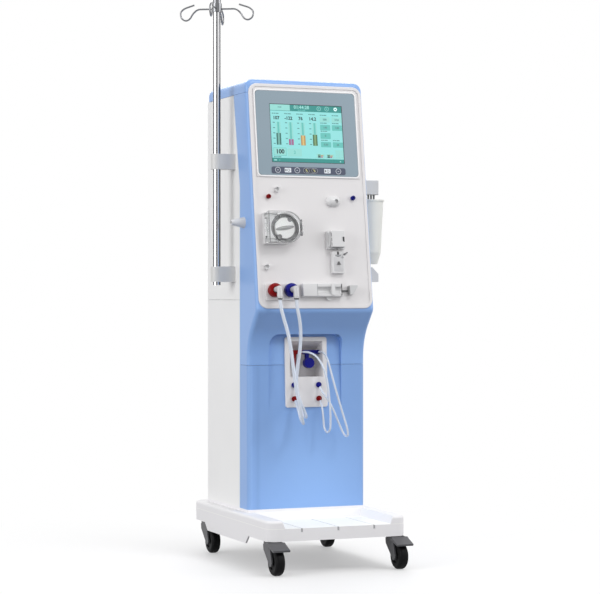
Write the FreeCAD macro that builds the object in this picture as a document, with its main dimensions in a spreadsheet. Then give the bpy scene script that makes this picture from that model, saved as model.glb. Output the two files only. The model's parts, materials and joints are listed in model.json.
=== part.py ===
"""A haemodialysis machine on a castor base, in millimetres, +Z up, front towards -Y.

The origin lies under the middle of the machine's outer box, on the floor. Every size is a cell
of the sheet "Sizes". Sub-parts on the sloped instrument panel and on the leaning concentrate
panel are drawn in that panel's own frame: x to the right, z up the panel and -y out of it.
"""
import FreeCAD, Part
import math
import os
import re
import Sketcher

Vector = FreeCAD.Vector
Rotation = FreeCAD.Rotation
Placement = FreeCAD.Placement

# Driving dimensions: name and value.
SIZES = [
    # Place of the cabinet's centre line in the part's frame
    ("frame_x", 21.8), ("frame_y", 112),
    # Castor base with its canister tray
    ("base_width", 422), ("base_front", 407), ("base_back", 226), ("base_bottom", 93),
    ("base_top", 150.5), ("base_corner", 28), ("base_edge", 8), ("base_wall", 5),
    ("skirt_bottom", 70.5), ("skirt_front", 227), ("skirt_back", 99), ("skirt_ramp", 24),
    ("tray_floor", 128), ("tray_half_floor", 160), ("tray_half_top", 169),
    ("tray_back_floor", 190), ("tray_back_top", 178), ("tray_corner", 6),
    ("groove_pitch", 110), ("groove_width", 3), ("groove_depth", 2.5), ("notch_width", 6),
    ("notch_drop", 11),
    # Cabinet
    ("cabinet_width", 366), ("cabinet_front", 175), ("cabinet_back", 175),
    ("cabinet_bottom", 158), ("cabinet_top", 1402), ("cap_split", 1362), ("cover_split", 574),
    ("side_split", 763), ("seam_depth", 106), ("seam_knee", 1090), ("seam_top_depth", 53),
    ("seam_gap", 0.8), ("side_wall", 3), ("shell_wall", 5), ("corner_round", 13),
    ("cap_round", 24), ("cap_inset", 15), ("rear_wall", 3), ("post_side", 25),
    ("post_wall", 3), ("plate_wall", 4),
    # Sloped instrument panel
    ("panel_lean", 8.03), ("panel_foot", 250), ("panel_base", 738), ("panel_proud", 3),
    ("panel_half", 177), ("panel_length", 658), ("panel_corner", 27), ("panel_edge", 2.4),
    ("panel_border", 9), ("panel_field", 2.2), ("panel_body", 9), ("panel_inset", 9),
    ("panel_body_top", 620), ("chin_knee", 644), ("chin_slant", 40), ("chin_round", 140),
    ("chin_edge", 22), ("fit_gap", 0.4),
    # Monitor
    ("monitor_x", -2), ("monitor_drop", 270), ("monitor_width", 312), ("monitor_height", 249),
    ("monitor_wall", 2.8), ("monitor_round", 12), ("monitor_lip", 5), ("monitor_seat", 2),
    ("lcd_x", -1.5), ("lcd_rise", 38), ("lcd_width", 228), ("lcd_height", 173), ("lcd_sink", 1),
    ("strip_x", -2.5), ("strip_rise", 5), ("strip_width", 231), ("strip_height", 20),
    ("strip_wall", 1), ("strip_round", 5), ("key_radius", 8.5), ("key_proud", 0.8),
    # Line ports, clips and posts
    ("port_x", 132), ("port_up", 325), ("port_radius", 6.5), ("port_length", 12),
    ("clip_radius", 8), ("clip_wall", 2.5), ("clip_length", 9),
    ("clip_x", -105), ("clip_up", 346), ("low_clip_x", -148), ("low_clip_up", 120),
    ("rest_x", 69), ("rest_up", 314), ("rest_radius", 16), ("rest_sink", 1), ("rest_step", 6),
    ("rest_bore", 6), ("rest_depth", 8),
    ("post_foot", 16.5), ("post_tip", 7), ("post_length", 40), ("post_bore", 5),
    ("side_post_y", 140), ("side_post_height", 986),
    # Blood pump
    ("pump_x", -94), ("pump_up", 230), ("pump_radius", 45), ("pump_depth", 20),
    ("pump_left", 60), ("raceway_radius", 40), ("raceway_wall", 2.5), ("raceway_floor", 5),
    ("track_floor", 1.2),
    ("rotor_radius", 30), ("rotor_depth", 15), ("rotor_gap", 0.5), ("shaft_radius", 6),
    ("roller_radius", 7), ("roller_orbit", 30), ("roller_turn", 57), ("roller_pin", 2),
    ("pin_head", 3.2), ("run_gap", 0.05),
    ("grip_thick", 6), ("grip_proud", 7), ("cover_radius", 46), ("cover_wall", 3),
    ("cover_front", 40), ("cover_hinge_x", 59.5), ("cover_hinge_out", 24),
    ("knuckle_radius", 3.5), ("knuckle_half", 12), ("knuckle_length", 12), ("hinge_pin", 1.5),
    ("latch_width", 5), ("latch_height", 38), ("motor_radius", 32), ("motor_length", 80),
    # Air detector and line clamp
    ("detector_left", 40), ("detector_low", 172), ("detector_width", 55),
    ("detector_height", 54), ("detector_out", 10), ("door_left", 48), ("door_low", 176),
    ("door_width", 41), ("door_height", 48), ("door_thick", 14.7), ("line_groove", 6.5),
    ("line_groove_depth", 3.5), ("door_barrel", 2.5), ("door_pin", 1),
    ("clamp_left", 52), ("clamp_low", 101), ("clamp_width", 37), ("clamp_height", 64),
    ("clamp_out", 12), ("plunger_radius", 4), ("plunger_head", 6),
    # Dialysate couplers parked on the panel
    ("pad_left", -156), ("pad_low", 24), ("pad_width", 102), ("pad_height", 47),
    ("pad_out", 3), ("coupler_up", 51.7), ("red_coupler_x", -130), ("blue_coupler_x", -80),
    ("coupler_radius", 20), ("coupler_thick", 19), ("coupler_dish", 10), ("elbow_radius", 8),
    ("elbow_reach", 45), ("elbow_drop", 29),
    # Syringe pump
    ("syringe_left", -46), ("syringe_low", 33), ("syringe_width", 120), ("syringe_height", 38),
    ("syringe_out", 15), ("syringe_block", 45), ("trough_radius", 10.5), ("trough_up", 51),
    ("end_plate", 3), ("end_plate_out", 19), ("pusher_rod", 2), ("pusher_rod_out", 0),
    ("pusher_left", 100), ("pusher_width", 24), ("pusher_height", 28), ("pusher_reach", 117),
    ("arm_x", 47), ("arm_width", 11), ("arm_low", 37), ("arm_height", 33), ("arm_thick", 4),
    ("arm_post", 2.5),
    # Concentrate panel
    ("niche_base", 434), ("niche_lean", 3), ("recess_left", 120), ("recess_right", 108),
    ("recess_top", 228), ("recess_corner", 25), ("recess_reach", 90), ("plate_left", -68),
    ("plate_low", 16),
    ("plate_width", 132), ("plate_height", 205), ("plate_out", 6), ("plate_corner", 8),
    ("tub_left", -57), ("tub_low", 24), ("tub_width", 111), ("tub_height", 190),
    ("tub_depth", 64), ("niche_wall", 4), ("niche_low", 105), ("niche_top", 209),
    ("niche_slope", 29), ("bar_low", 171), ("bar_height", 12), ("bar_near", 16),
    ("bar_thick", 14), ("red_bar_end", -5), ("blue_bar_end", -3), ("wand_x", -30),
    ("wand_radius", 8), ("wand_drop", 40), ("knob_x", 12), ("knob_up", 145),
    ("knob_radius", 15), ("left_port_x", -42), ("right_port_x", 35), ("low_port_up", 41),
    ("high_port_up", 81), ("ring_radius", 8), ("ring_out", 4.6), ("nozzle_radius", 3.4),
    ("nozzle_length", 10), ("tap_up", 8),
    # Drip stand and hooks
    ("pole_x", -234.6), ("pole_y", -51), ("pole_radius", 11), ("pole_bore", 9),
    ("pole_low", 806), ("pole_rise", 201), ("grip_radius", 18.5), ("bracket_height", 45),
    ("upper_bracket", 1144), ("lower_bracket", 815), ("hub_radius", 15), ("hub_height", 25),
    ("hub_stem", 40), ("cap_radius", 12), ("cap_height", 22), ("hook_wire", 2.5),
    ("hook_turn", -30), ("hook_count", 4), ("hook_rise", 10),
    # Cup and its brackets
    ("cup_x", 235.5), ("cup_y", -75), ("cup_low", 870), ("cup_top", 1062), ("cup_rim", 51.5),
    ("cup_mouth", 48.5), ("cup_waist", 41), ("cup_base", 31), ("cup_waist_height", 35),
    ("cup_wall", 2), ("cup_lip", 4), ("cup_foot", 10), ("arm_end", 264), ("arm_half", 20),
    ("cup_arm_low", 1077), ("cup_arm_high", 1121), ("rest_low", 816), ("rest_high", 860),
    ("rest_slope", 20), ("pin_radius", 3), ("pin_drop", 12),
    # Inner modules and rear fittings
    ("tank_width", 250), ("tank_depth", 180), ("tank_height", 260), ("tank_low", 190),
    ("supply_width", 220), ("supply_depth", 120), ("supply_height", 110), ("shelf_low", 700),
    ("vent_width", 120), ("vent_height", 5), ("vent_pitch", 14),
    ("vent_count", 9), ("vent_low", 1080), ("inlet_width", 50), ("inlet_height", 30),
    ("inlet_depth", 8), ("rear_low", 250), ("fitting_radius", 9), ("fitting_length", 24),
    ("fitting_pitch", 45),
    # Castors
    ("caster_inset", 24), ("front_inset", 29), ("rear_inset", 76), ("caster_trail", 31),
    ("wheel_radius", 37.5), ("wheel_width", 28), ("wheel_round", 9), ("axle_radius", 4),
    ("wheel_gap", 1), ("leg_wall", 4.5), ("leg_round", 12), ("fork_top", 92), ("fork_head", 15),
    ("fork_half", 25), ("stem_radius", 6), ("stem_length", 20), ("boss_radius", 22),
    ("pedal_half", 25), ("pedal_reach", 72), ("pedal_pin", 3), ("pedal_pin_y", 20),
    ("pedal_pin_z", 84), ("pedal_thick", 6),
    # Hoses and tubes
    ("hose_radius", 5), ("tube_radius", 3),
]

# Lengths that follow from the driving ones.
DERIVED = {
    "half": "cabinet_width / 2",
    "half_base": "base_width / 2",
    "monitor_low": "panel_length - monitor_drop",
    "lcd_low": "monitor_low + lcd_rise",
    "strip_low": "monitor_low + strip_rise",
    "pole_top": "cabinet_top + pole_rise",
    "caster_x": "half_base - caster_inset",
    "front_caster": "base_front - front_inset",
    "rear_caster": "base_back - rear_inset",
    "plane_foot": "panel_foot - panel_proud / cos(panel_lean)",
    "plane_cap": "plane_foot - (cap_split - panel_base) * tan(panel_lean)",
    "plane_seam": "plane_foot - (cap_split + seam_gap - panel_base) * tan(panel_lean)",
    "plane_top": "plane_foot - (cabinet_top - panel_base) * tan(panel_lean)",
    "chin_top": "(panel_base * tan(panel_lean) + chin_knee * tan(chin_slant) + plane_foot"
                " - cabinet_front) / (tan(panel_lean) + tan(chin_slant))",
    "chin_depth": "cabinet_front + (chin_top - chin_knee) * tan(chin_slant)",
    "inside": "half - side_wall",
    "panel_back": "panel_proud + panel_body",
    "rotor_back": "pump_depth - raceway_floor - panel_field",
    "rotor_low": "raceway_floor + track_floor + rotor_gap - panel_field",
    "rotor_high": "rotor_low + rotor_depth",
    "roller_low": "rotor_low + 3",
    "roller_high": "rotor_high - 2.5",
    "roller_x": "roller_orbit * cos(roller_turn)",
    "roller_z": "roller_orbit * sin(roller_turn)",
    "coupler_face": "pad_out + coupler_thick",
    "wheel_clear": "wheel_width / 2 + wheel_gap",
}

doc = FreeCAD.newDocument("DialysisMachine")
sheet = doc.addObject("Spreadsheet::Sheet", "Sizes")
for row, (name, number) in enumerate(SIZES, 1):
    sheet.set(f"A{row}", name)
    sheet.set(f"B{row}", str(number))
    sheet.setAlias(f"B{row}", name)
doc.recompute()

NAMES = {name for name, number in SIZES}
WORD = re.compile(r"[a-z][a-z_0-9]*")
TURN = {
    "x": Vector(1, 0, 0), "y": Vector(0, 1, 0), "z": Vector(0, 0, 1),
    "-x": Vector(-1, 0, 0), "-y": Vector(0, -1, 0), "-z": Vector(0, 0, -1),
    "droop": Vector(0, -1, -1), "tilt": Vector(-0.156, 0, 0.988),
}
TILT = {"z": 0, "-y": 90}
FRAMES = {
    "cabinet": ("0", "0", "0"),
    "panel": ("-panel_foot", "panel_base", "panel_lean"),
    "niche": ("-cabinet_front", "niche_base", "niche_lean"),
}
PIECES = []


def bound(formula):
    """Return a formula in size names as an expression on the sheet."""
    def swap(match):
        word = match.group()
        if word in NAMES:
            return "Sizes." + word
        if word in DERIVED:
            return "(" + bound(DERIVED[word]) + ")"
        return word
    return WORD.sub(swap, str(formula))


def value(formula):
    """Return a formula's present value in millimetres or degrees."""
    return float(sheet.evalExpression(bound(formula)))


def from_frame(at, frame):
    """Return a point of a leaning panel's frame as formulas in the cabinet's frame."""
    x, y, z = at
    foot, base, lean = FRAMES[frame]
    return (x, f"{foot} + ({y}) * cos({lean}) + ({z}) * sin({lean})",
            f"{base} - ({y}) * sin({lean}) + ({z}) * cos({lean})")


def place(part, at, frame="cabinet"):
    """Bind a sub-part's Placement to a point of the cabinet's or of a leaning panel's frame."""
    x, y, z = from_frame(at, frame)
    part.Placement.Rotation = Rotation(Vector(1, 0, 0), 1)
    part.setExpression("Placement.Rotation.Angle", bound(f"-({FRAMES[frame][2]})"))
    part.setExpression("Placement.Base.x", bound(f"frame_x + {x}"))
    part.setExpression("Placement.Base.y", bound(f"frame_y + {y}"))
    part.setExpression("Placement.Base.z", bound(z))


def along(axis):
    """Choose straight edges that run along an axis."""
    def test(edge):
        if not isinstance(edge.Curve, (Part.Line, Part.LineSegment)):
            return False
        return abs(abs(edge.tangentAt(edge.FirstParameter).dot(TURN[axis])) - 1) < 1e-4
    return test


def level(axis, *formulas):
    """Choose edges that lie wholly at one of the given heights on an axis."""
    heights = [value(formula) for formula in formulas]

    def test(edge):
        box = edge.BoundBox
        low = getattr(box, axis.upper() + "Min")
        high = getattr(box, axis.upper() + "Max")
        return any(abs(low - height) < 0.02 and abs(high - height) < 0.02 for height in heights)
    return test


def above(axis, formula):
    """Choose edges whose middle lies past a height on an axis."""
    height = value(formula)
    return lambda edge: getattr(edge.BoundBox.Center, axis) > height


def below(axis, formula):
    """Choose edges whose middle lies short of a height on an axis."""
    height = value(formula)
    return lambda edge: getattr(edge.BoundBox.Center, axis) < height


class Piece:
    """One sub-part: a body whose sketches, features and place are bound to the sheet."""

    def __init__(self, label, at=("0", "0", "0"), frame="cabinet"):
        self.body = doc.addObject("PartDesign::Body", label)
        self.body.Label = label
        place(self.body, at, frame)
        PIECES.append(self.body)

    def plane(self, role):
        return next(item for item in self.body.Origin.OriginFeatures if item.Role == role)

    def primitive(self, kind, sizes, at, axis="z", frame="cabinet"):
        """Add a primitive along an axis; another frame is for cuts of a leaning panel."""
        feature = self.body.newObject("PartDesign::" + kind, kind)
        for size, formula in sizes.items():
            feature.setExpression(size, bound(formula))
        if frame == "cabinet":
            feature.Placement = Placement(Vector(), Rotation(Vector(0, 0, 1), TURN[axis]))
        else:
            feature.Placement.Rotation = Rotation(Vector(1, 0, 0), 1)
            tilt = f"{TILT[axis]} - {FRAMES[frame][2]}"
            feature.setExpression("Placement.Rotation.Angle", bound(tilt))
        for letter, formula in zip("xyz", from_frame(at, frame)):
            feature.setExpression("Placement.Base." + letter, bound(formula))
        return feature

    def box(self, low, high, cut=False, frame="cabinet"):
        spans = [f"({top}) - ({bottom})" for bottom, top in zip(low, high)]
        kind = "SubtractiveBox" if cut else "AdditiveBox"
        sizes = dict(zip(("Length", "Width", "Height"), spans))
        return self.primitive(kind, sizes, low, "z", frame)

    def cylinder(self, foot, radius, length, axis="z", cut=False, frame="cabinet"):
        kind = "SubtractiveCylinder" if cut else "AdditiveCylinder"
        return self.primitive(kind, {"Radius": radius, "Height": length}, foot, axis, frame)

    def cone(self, foot, radius, tip, length, axis="z", frame="cabinet"):
        sizes = {"Radius1": radius, "Radius2": tip, "Height": length}
        return self.primitive("AdditiveCone", sizes, foot, axis, frame)

    def sketch(self, role, offset="0"):
        drawing = self.body.newObject("Sketcher::SketchObject", "Outline")
        drawing.AttachmentSupport = [(self.plane(role), "")]
        drawing.MapMode = "FlatFace"
        drawing.setExpression("AttachmentOffset.Base.z", bound(offset))
        return drawing

    def outline(self, role, corners, offset="0"):
        """Draw a closed outline with a corner at each pair of formulas."""
        drawing = self.sketch(role, offset)
        points = [Vector(value(across), value(up), 0) for across, up in corners]
        count = len(points)
        for index in range(count):
            drawing.addGeometry(Part.LineSegment(points[index], points[(index + 1) % count]))
        for index in range(count):
            link = Sketcher.Constraint("Coincident", index, 2, (index + 1) % count, 1)
            drawing.addConstraint(link)
        for index, corner in enumerate(corners):
            for kind, formula in zip(("DistanceX", "DistanceY"), corner):
                size = Sketcher.Constraint(kind, -1, 1, index, 1, value(formula))
                number = drawing.addConstraint(size)
                drawing.setExpression(f"Constraints[{number}]", bound(formula))
        return drawing

    def extrude(self, role, corners, start, end, cut=False):
        """Pad or pocket an outline from one offset of its plane to another, along its normal."""
        drawing = self.outline(role, corners, start if not cut else end)
        feature = self.body.newObject("PartDesign::Pocket" if cut else "PartDesign::Pad", "Prism")
        feature.Profile = drawing
        feature.setExpression("Length", bound(f"({end}) - ({start})"))
        return feature

    def revolve(self, role, corners, axis="V_Axis", cut=False):
        """Turn an outline about an axis of its own sketch."""
        drawing = self.outline(role, corners)
        kind = "PartDesign::Groove" if cut else "PartDesign::Revolution"
        feature = self.body.newObject(kind, "Turned")
        feature.Profile = drawing
        feature.ReferenceAxis = (drawing, [axis])
        feature.Angle = 360
        return feature

    def loft(self, sections, cut=False):
        """Loft through outlines on parallel planes, each given as role, corners and offset."""
        drawings = [self.outline(*section) for section in sections]
        kind = "PartDesign::SubtractiveLoft" if cut else "PartDesign::AdditiveLoft"
        feature = self.body.newObject(kind, "Loft")
        feature.Profile = drawings[0]
        feature.Sections = drawings[1:]
        feature.Ruled = True
        return feature

    def edges(self, tests):
        doc.recompute()
        tip = self.body.Tip
        names = [f"Edge{index}" for index, edge in enumerate(tip.Shape.Edges, 1)
                 if all(test(edge) for test in tests)]
        if not names:
            raise RuntimeError(f"{self.body.Label}: no edge to round")
        return tip, names

    def fillet(self, radius, *tests):
        base = self.edges(tests)
        feature = self.body.newObject("PartDesign::Fillet", "Rounding")
        feature.Base = base
        feature.setExpression("Radius", bound(radius))
        return feature

    def chamfer(self, size, *tests):
        base = self.edges(tests)
        feature = self.body.newObject("PartDesign::Chamfer", "Bevel")
        feature.Base = base
        feature.setExpression("Size", bound(size))
        return feature

    def repeat(self, feature, role, span, count):
        """Repeat a feature in equal steps along an axis of the body."""
        doc.recompute()
        pattern = self.body.newObject("PartDesign::LinearPattern", "Row")
        pattern.Originals = [feature]
        pattern.Direction = (self.plane(role), [""])
        pattern.setExpression("Length", bound(span))
        pattern.setExpression("Occurrences", bound(count))
        self.body.Tip = pattern
        return pattern


def rectangle(left, low, right, high):
    """Return the four corners of an upright rectangle."""
    return [(left, low), (right, low), (right, high), (left, high)]


def base_tray():
    """Moulded base: rim, open-fronted canister tray, skirts and castor bosses."""
    part = Piece("base_tray")
    side = [
        ("-base_front", "base_bottom"), ("-skirt_front - skirt_ramp", "base_bottom"),
        ("-skirt_front", "skirt_bottom"), ("skirt_back", "skirt_bottom"),
        ("skirt_back + skirt_ramp", "base_bottom"), ("base_back", "base_bottom"),
        ("base_back", "base_top"), ("-base_front", "base_top"),
    ]
    part.extrude("YZ_Plane", side, "-half_base", "half_base")
    part.fillet("base_corner", along("z"))
    part.loft([
        ("XY_Plane", rectangle("-tray_half_floor", "-base_front - 5", "tray_half_floor",
                               "-tray_back_floor"), "tray_floor"),
        ("XY_Plane", rectangle("-tray_half_top", "-base_front - 5", "tray_half_top",
                               "-tray_back_top"), "base_top + 0.01"),
    ], cut=True)
    part.fillet("base_edge", level("z", "base_top"), on_outer_rim)
    part.box(("-half_base + base_wall", "-base_front + base_wall", "skirt_bottom - 5"),
             ("half_base - base_wall", "base_back - base_wall", "tray_floor - base_wall"),
             cut=True)
    for row in (-1, 0, 1):
        middle = f"{row} * groove_pitch"
        part.box((f"{middle} - groove_width / 2", "-base_front - 1", "tray_floor - groove_depth"),
                 (f"{middle} + groove_width / 2", "-tray_back_floor - 12", "tray_floor + 1"),
                 cut=True)
        part.box((f"{middle} - notch_width / 2", "-base_front - 1", "tray_floor - notch_drop"),
                 (f"{middle} + notch_width / 2", "-base_front + groove_depth", "tray_floor + 1"),
                 cut=True)
    part.box(("-half", "-cabinet_front", "base_top - 1"),
             ("half", "cabinet_back", "cabinet_bottom"))
    for side_sign in ("-", ""):
        for y in ("-front_caster", "rear_caster"):
            foot = (f"{side_sign}caster_x", y, "fork_top + 0.3")
            part.cylinder(foot, "boss_radius", "tray_floor - base_wall - fork_top")
            part.cylinder(foot, "stem_radius", "stem_length + 1", cut=True)


def on_outer_rim(edge):
    """Choose the rim's outer edges: the two sides, the back and the corners between them."""
    middle = edge.BoundBox.Center
    outer_side = abs(middle.x) > value("half_base - base_corner")
    outer_back = middle.y > value("base_back - base_corner")
    return outer_side or outer_back


def chassis_frame():
    """Welded frame inside the cabinet: two plates, four angle posts and a shelf."""
    part = Piece("chassis_frame")
    for low in ("cabinet_bottom", "cap_split - plate_wall"):
        part.box(("-inside", "-seam_depth + 6", low),
                 ("inside", "cabinet_back - rear_wall", f"{low} + plate_wall"))
    part.box(("-inside", "-seam_depth + 40", "shelf_low"),
             ("inside", "cabinet_back - rear_wall", "shelf_low + plate_wall"))
    for left, right in (("-inside", "-inside + post_side"), ("inside - post_side", "inside")):
        for near, far in (("-seam_depth + 6", "-seam_depth + 6 + post_side"),
                          ("cabinet_back - rear_wall - post_side", "cabinet_back - rear_wall")):
            part.box((left, near, "cabinet_bottom"), (right, far, "cap_split"))


def hydraulic_module():
    """Dialysate tank block low in the cabinet, standing on the frame's bottom plate."""
    part = Piece("hydraulic_module")
    part.box(("-tank_width / 2", "cabinet_back - 40 - tank_depth",
              "cabinet_bottom + plate_wall"),
             ("tank_width / 2", "cabinet_back - 40", "tank_low + tank_height"))
    part.fillet("12", along("z"))
    for x in ("-tank_width / 4", "tank_width / 4"):
        part.cylinder((x, "cabinet_back - 40 - tank_depth / 2", "tank_low + tank_height - 1"),
                      "tank_width / 7", "40")


def power_supply():
    """Power supply on the shelf."""
    part = Piece("power_supply")
    part.box(("-supply_width / 2", "cabinet_back - 30 - supply_depth", "shelf_low + plate_wall"),
             ("supply_width / 2", "cabinet_back - 30", "shelf_low + plate_wall + supply_height"))
    part.chamfer("3", along("z"))


def top_cap():
    """Blue cap over the cabinet, with its own strip above the panel."""
    part = Piece("top_cap")
    side = [("-plane_seam", "cap_split + seam_gap"), ("cabinet_back", "cap_split + seam_gap"),
            ("cabinet_back", "cabinet_top"), ("-plane_top", "cabinet_top")]
    part.extrude("YZ_Plane", side, "-half", "half")
    part.fillet("cap_round", level("x", "half", "-half"), level("z", "cabinet_top"))
    part.fillet("corner_round", level("z", "cabinet_top"), below("y", "-plane_top + 1"))
    part.fillet("corner_round", level("z", "cabinet_top"), above("y", "cabinet_back - 1"))
    for inset, low, high in (("side_wall + 1", "cap_split - 1", "cabinet_top - cap_round"),
                             ("cap_inset", "cabinet_top - cap_round - 1",
                              "cabinet_top - shell_wall")):
        part.box((f"-half + {inset}", "-plane_top + shell_wall", low),
                 (f"half - ({inset})", "cabinet_back - shell_wall", high), cut=True)


def recess_cut(part):
    """Cut the shallow recess round the concentrate panel, up to its rounded corners."""
    part.box(("-recess_left", "-recess_reach", "0"),
             ("recess_right", "0", "recess_top - recess_corner"), cut=True, frame="niche")


def recess_top_cut(part):
    """Cut the top of the recess between and in its two rounded corners."""
    left, right = "-recess_left + recess_corner", "recess_right - recess_corner"
    part.box((left, "-recess_reach", "0"), (right, "0", "recess_top"), cut=True, frame="niche")
    for x in (left, right):
        part.cylinder((x, "0", "recess_top - recess_corner"), "recess_corner", "recess_reach",
                      "-y", cut=True, frame="niche")


def tub_window(part):
    """Cut the window behind the concentrate panel, in the leaning panel's frame."""
    part.box(("tub_left - fit_gap", "-cabinet_front - 20", "niche_base + tub_low - 3"),
             ("tub_left + tub_width + fit_gap", "-seam_depth",
              "niche_base + tub_low + tub_height + 3"), cut=True)


def upper_front_shell():
    """Blue front frame: sloped face, sides, concave chin and panel opening."""
    part = Piece("upper_front_shell")
    low = "cover_split + seam_gap / 2"
    side = [("-seam_depth", low), ("-cabinet_front", low), ("-cabinet_front", "chin_knee"),
            ("-chin_depth", "chin_top"), ("-plane_cap", "cap_split"),
            ("-seam_top_depth", "cap_split"), ("-seam_depth", "seam_knee")]
    part.extrude("YZ_Plane", side, "-half", "half")
    part.fillet("chin_round", along("x"), level("z", "chin_knee"))
    part.fillet("chin_edge", along("x"), level("z", "chin_top"))
    part.fillet("corner_round", level("x", "half", "-half"), below("y", "-seam_depth - 20"),
                lambda edge: edge.BoundBox.ZLength > 3)
    wall = "shell_wall"
    inner = [("-seam_depth + 60", f"{low} - 1"), (f"-cabinet_front + {wall}", f"{low} - 1"),
             (f"-cabinet_front + {wall}", "chin_knee"),
             (f"-chin_depth + {wall} + 3", "chin_top + 2"),
             (f"-plane_cap + {wall}", "cap_split + 1"), ("-seam_top_depth + 60", "cap_split + 1")]
    part.extrude("YZ_Plane", inner, "-inside", "inside", cut=True)
    part.box(("-recess_left - shell_wall", "-cabinet_front + 1", low),
             ("recess_right + shell_wall", "-cabinet_front + 20",
              "niche_base + recess_top + shell_wall"))
    recess_cut(part)
    recess_top_cut(part)
    tub_window(part)
    slope_cut(part)


def slope_cut(part):
    """Cut the panel's opening through the sloped face."""
    half_width = "(panel_half - panel_inset + fit_gap)"
    part.box((f"-{half_width}", "-10", "panel_inset - fit_gap"),
             (half_width, "40", "panel_body_top + fit_gap"), cut=True, frame="panel")


def lower_front_cover():
    """Blue cover over the lower front, with the lower half of the shallow recess."""
    part = Piece("lower_front_cover")
    high = "cover_split - seam_gap / 2"
    part.box(("-half", "-cabinet_front", "cabinet_bottom"), ("half", "-seam_depth", high))
    part.fillet("corner_round", along("z"), below("y", "-cabinet_front + 1"))
    part.box(("-inside", "-cabinet_front + shell_wall", "cabinet_bottom + plate_wall"),
             ("inside", "-seam_depth + 1", f"{high} + 1"), cut=True)
    part.box(("-recess_left - shell_wall", "-cabinet_front + 1", "niche_base - shell_wall"),
             ("recess_right + shell_wall", "-cabinet_front + 20", high))
    recess_cut(part)
    tub_window(part)


def side_panels(label, sign):
    """White side panels, one above the other, with the upper one's slanted front edge."""
    part = Piece(label)
    start, end = ("-half", "-inside") if sign < 0 else ("inside", "half")
    back = "cabinet_back - rear_wall"
    lower = rectangle("-seam_depth + seam_gap", "cabinet_bottom", back, "side_split - seam_gap")
    upper = [("-seam_depth + seam_gap", "side_split"), (back, "side_split"),
             (back, "cap_split"), ("-seam_top_depth + seam_gap", "cap_split"),
             ("-seam_depth + seam_gap", "seam_knee")]
    part.extrude("YZ_Plane", lower, start, end)
    part.extrude("YZ_Plane", upper, start, end)


def rear_cover():
    """Rear cover with a row of air slots."""
    part = Piece("rear_cover")
    part.box(("-half", "cabinet_back - rear_wall", "cabinet_bottom"),
             ("half", "cabinet_back", "cap_split"))
    slot = part.box(("-vent_width / 2", "cabinet_back - rear_wall - 1", "vent_low"),
                    ("vent_width / 2", "cabinet_back + 1", "vent_low + vent_height"), cut=True)
    part.repeat(slot, "Z_Axis", "vent_pitch * (vent_count - 1)", "vent_count")


def rear_connectors():
    """Mains inlet and the water and drain fittings on the rear cover."""
    part = Piece("rear_connectors")
    part.box(("inside - 30 - inlet_width", "cabinet_back", "rear_low"),
             ("inside - 30", "cabinet_back + inlet_depth", "rear_low + inlet_height"))
    part.fillet("3", along("y"))
    part.box(("inside - 25 - inlet_width", "cabinet_back + 2", "rear_low + 5"),
             ("inside - 35", "cabinet_back + inlet_depth + 1", "rear_low + inlet_height - 5"),
             cut=True)
    for turn in (0, 1):
        foot = (f"-inside + 40 + {turn} * fitting_pitch", "cabinet_back", "rear_low + 10")
        part.cylinder(foot, "fitting_radius", "fitting_length / 3", "y")
        part.cylinder(foot, "fitting_radius * 0.6", "fitting_length", "y")


def on_panel_rim(edge):
    """Choose the panel's outer edges and leave those of its field."""
    if isinstance(edge.Curve, Part.Circle):
        return abs(edge.Curve.Radius - value("panel_corner")) < 0.02
    middle = edge.BoundBox.Center
    reach = value("panel_length / 2 - panel_border / 2")
    past_side = abs(middle.x) > value("panel_half - panel_border / 2")
    return past_side or abs(middle.z - value("panel_length / 2")) > reach


def front_panel():
    """White instrument panel: raised border, lip round the monitor and coupler pad."""
    part = Piece("front_panel", frame="panel")
    part.box(("-panel_half", "0", "0"), ("panel_half", "panel_proud", "panel_length"))
    part.fillet("panel_corner", along("y"))
    part.box(("-panel_half + panel_border", "-1", "panel_border"),
             ("panel_half - panel_border", "panel_field", "panel_length - panel_border"),
             cut=True)
    part.fillet("panel_corner - panel_border", along("y"), level("x", "-panel_half + panel_border",
                                                                 "panel_half - panel_border"))
    part.fillet("panel_edge", level("y", "0"), on_panel_rim)
    part.box(("-panel_half + panel_inset", "panel_proud", "panel_inset"),
             ("panel_half - panel_inset", "panel_back", "panel_body_top"))
    part.box(("monitor_x - monitor_width / 2 - monitor_lip", "0", "monitor_low - monitor_lip"),
             ("monitor_x + monitor_width / 2 + monitor_lip", "panel_field",
              "monitor_low + monitor_height + monitor_lip"))
    part.box(("monitor_x - monitor_width / 2", "-1", "monitor_low"),
             ("monitor_x + monitor_width / 2", "monitor_seat", "monitor_low + monitor_height"),
             cut=True)
    part.box(("pad_left", "-pad_out", "pad_low"),
             ("pad_left + pad_width", "panel_field", "pad_low + pad_height"))
    part.fillet("pad_out", along("y"), below("y", "0"))


def monitor_bezel():
    """Grey monitor bezel with its window and the seat of the key strip."""
    part = Piece("monitor_bezel", ("monitor_x", "0", "0"), "panel")
    part.box(("-monitor_width / 2", "monitor_seat - monitor_wall", "monitor_low"),
             ("monitor_width / 2", "monitor_seat", "monitor_low + monitor_height"))
    part.fillet("monitor_round", along("y"))
    part.box(("lcd_x - monitor_x - lcd_width / 2", "-5", "lcd_low"),
             ("lcd_x - monitor_x + lcd_width / 2", "5", "lcd_low + lcd_height"), cut=True)


def lcd_screen():
    """Touch screen in the bezel's window."""
    part = Piece("lcd_screen", ("lcd_x", "0", "lcd_low"), "panel")
    part.box(("-lcd_width / 2", "monitor_seat - monitor_wall + lcd_sink", "0"),
             ("lcd_width / 2", "monitor_seat", "lcd_height"))


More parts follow.
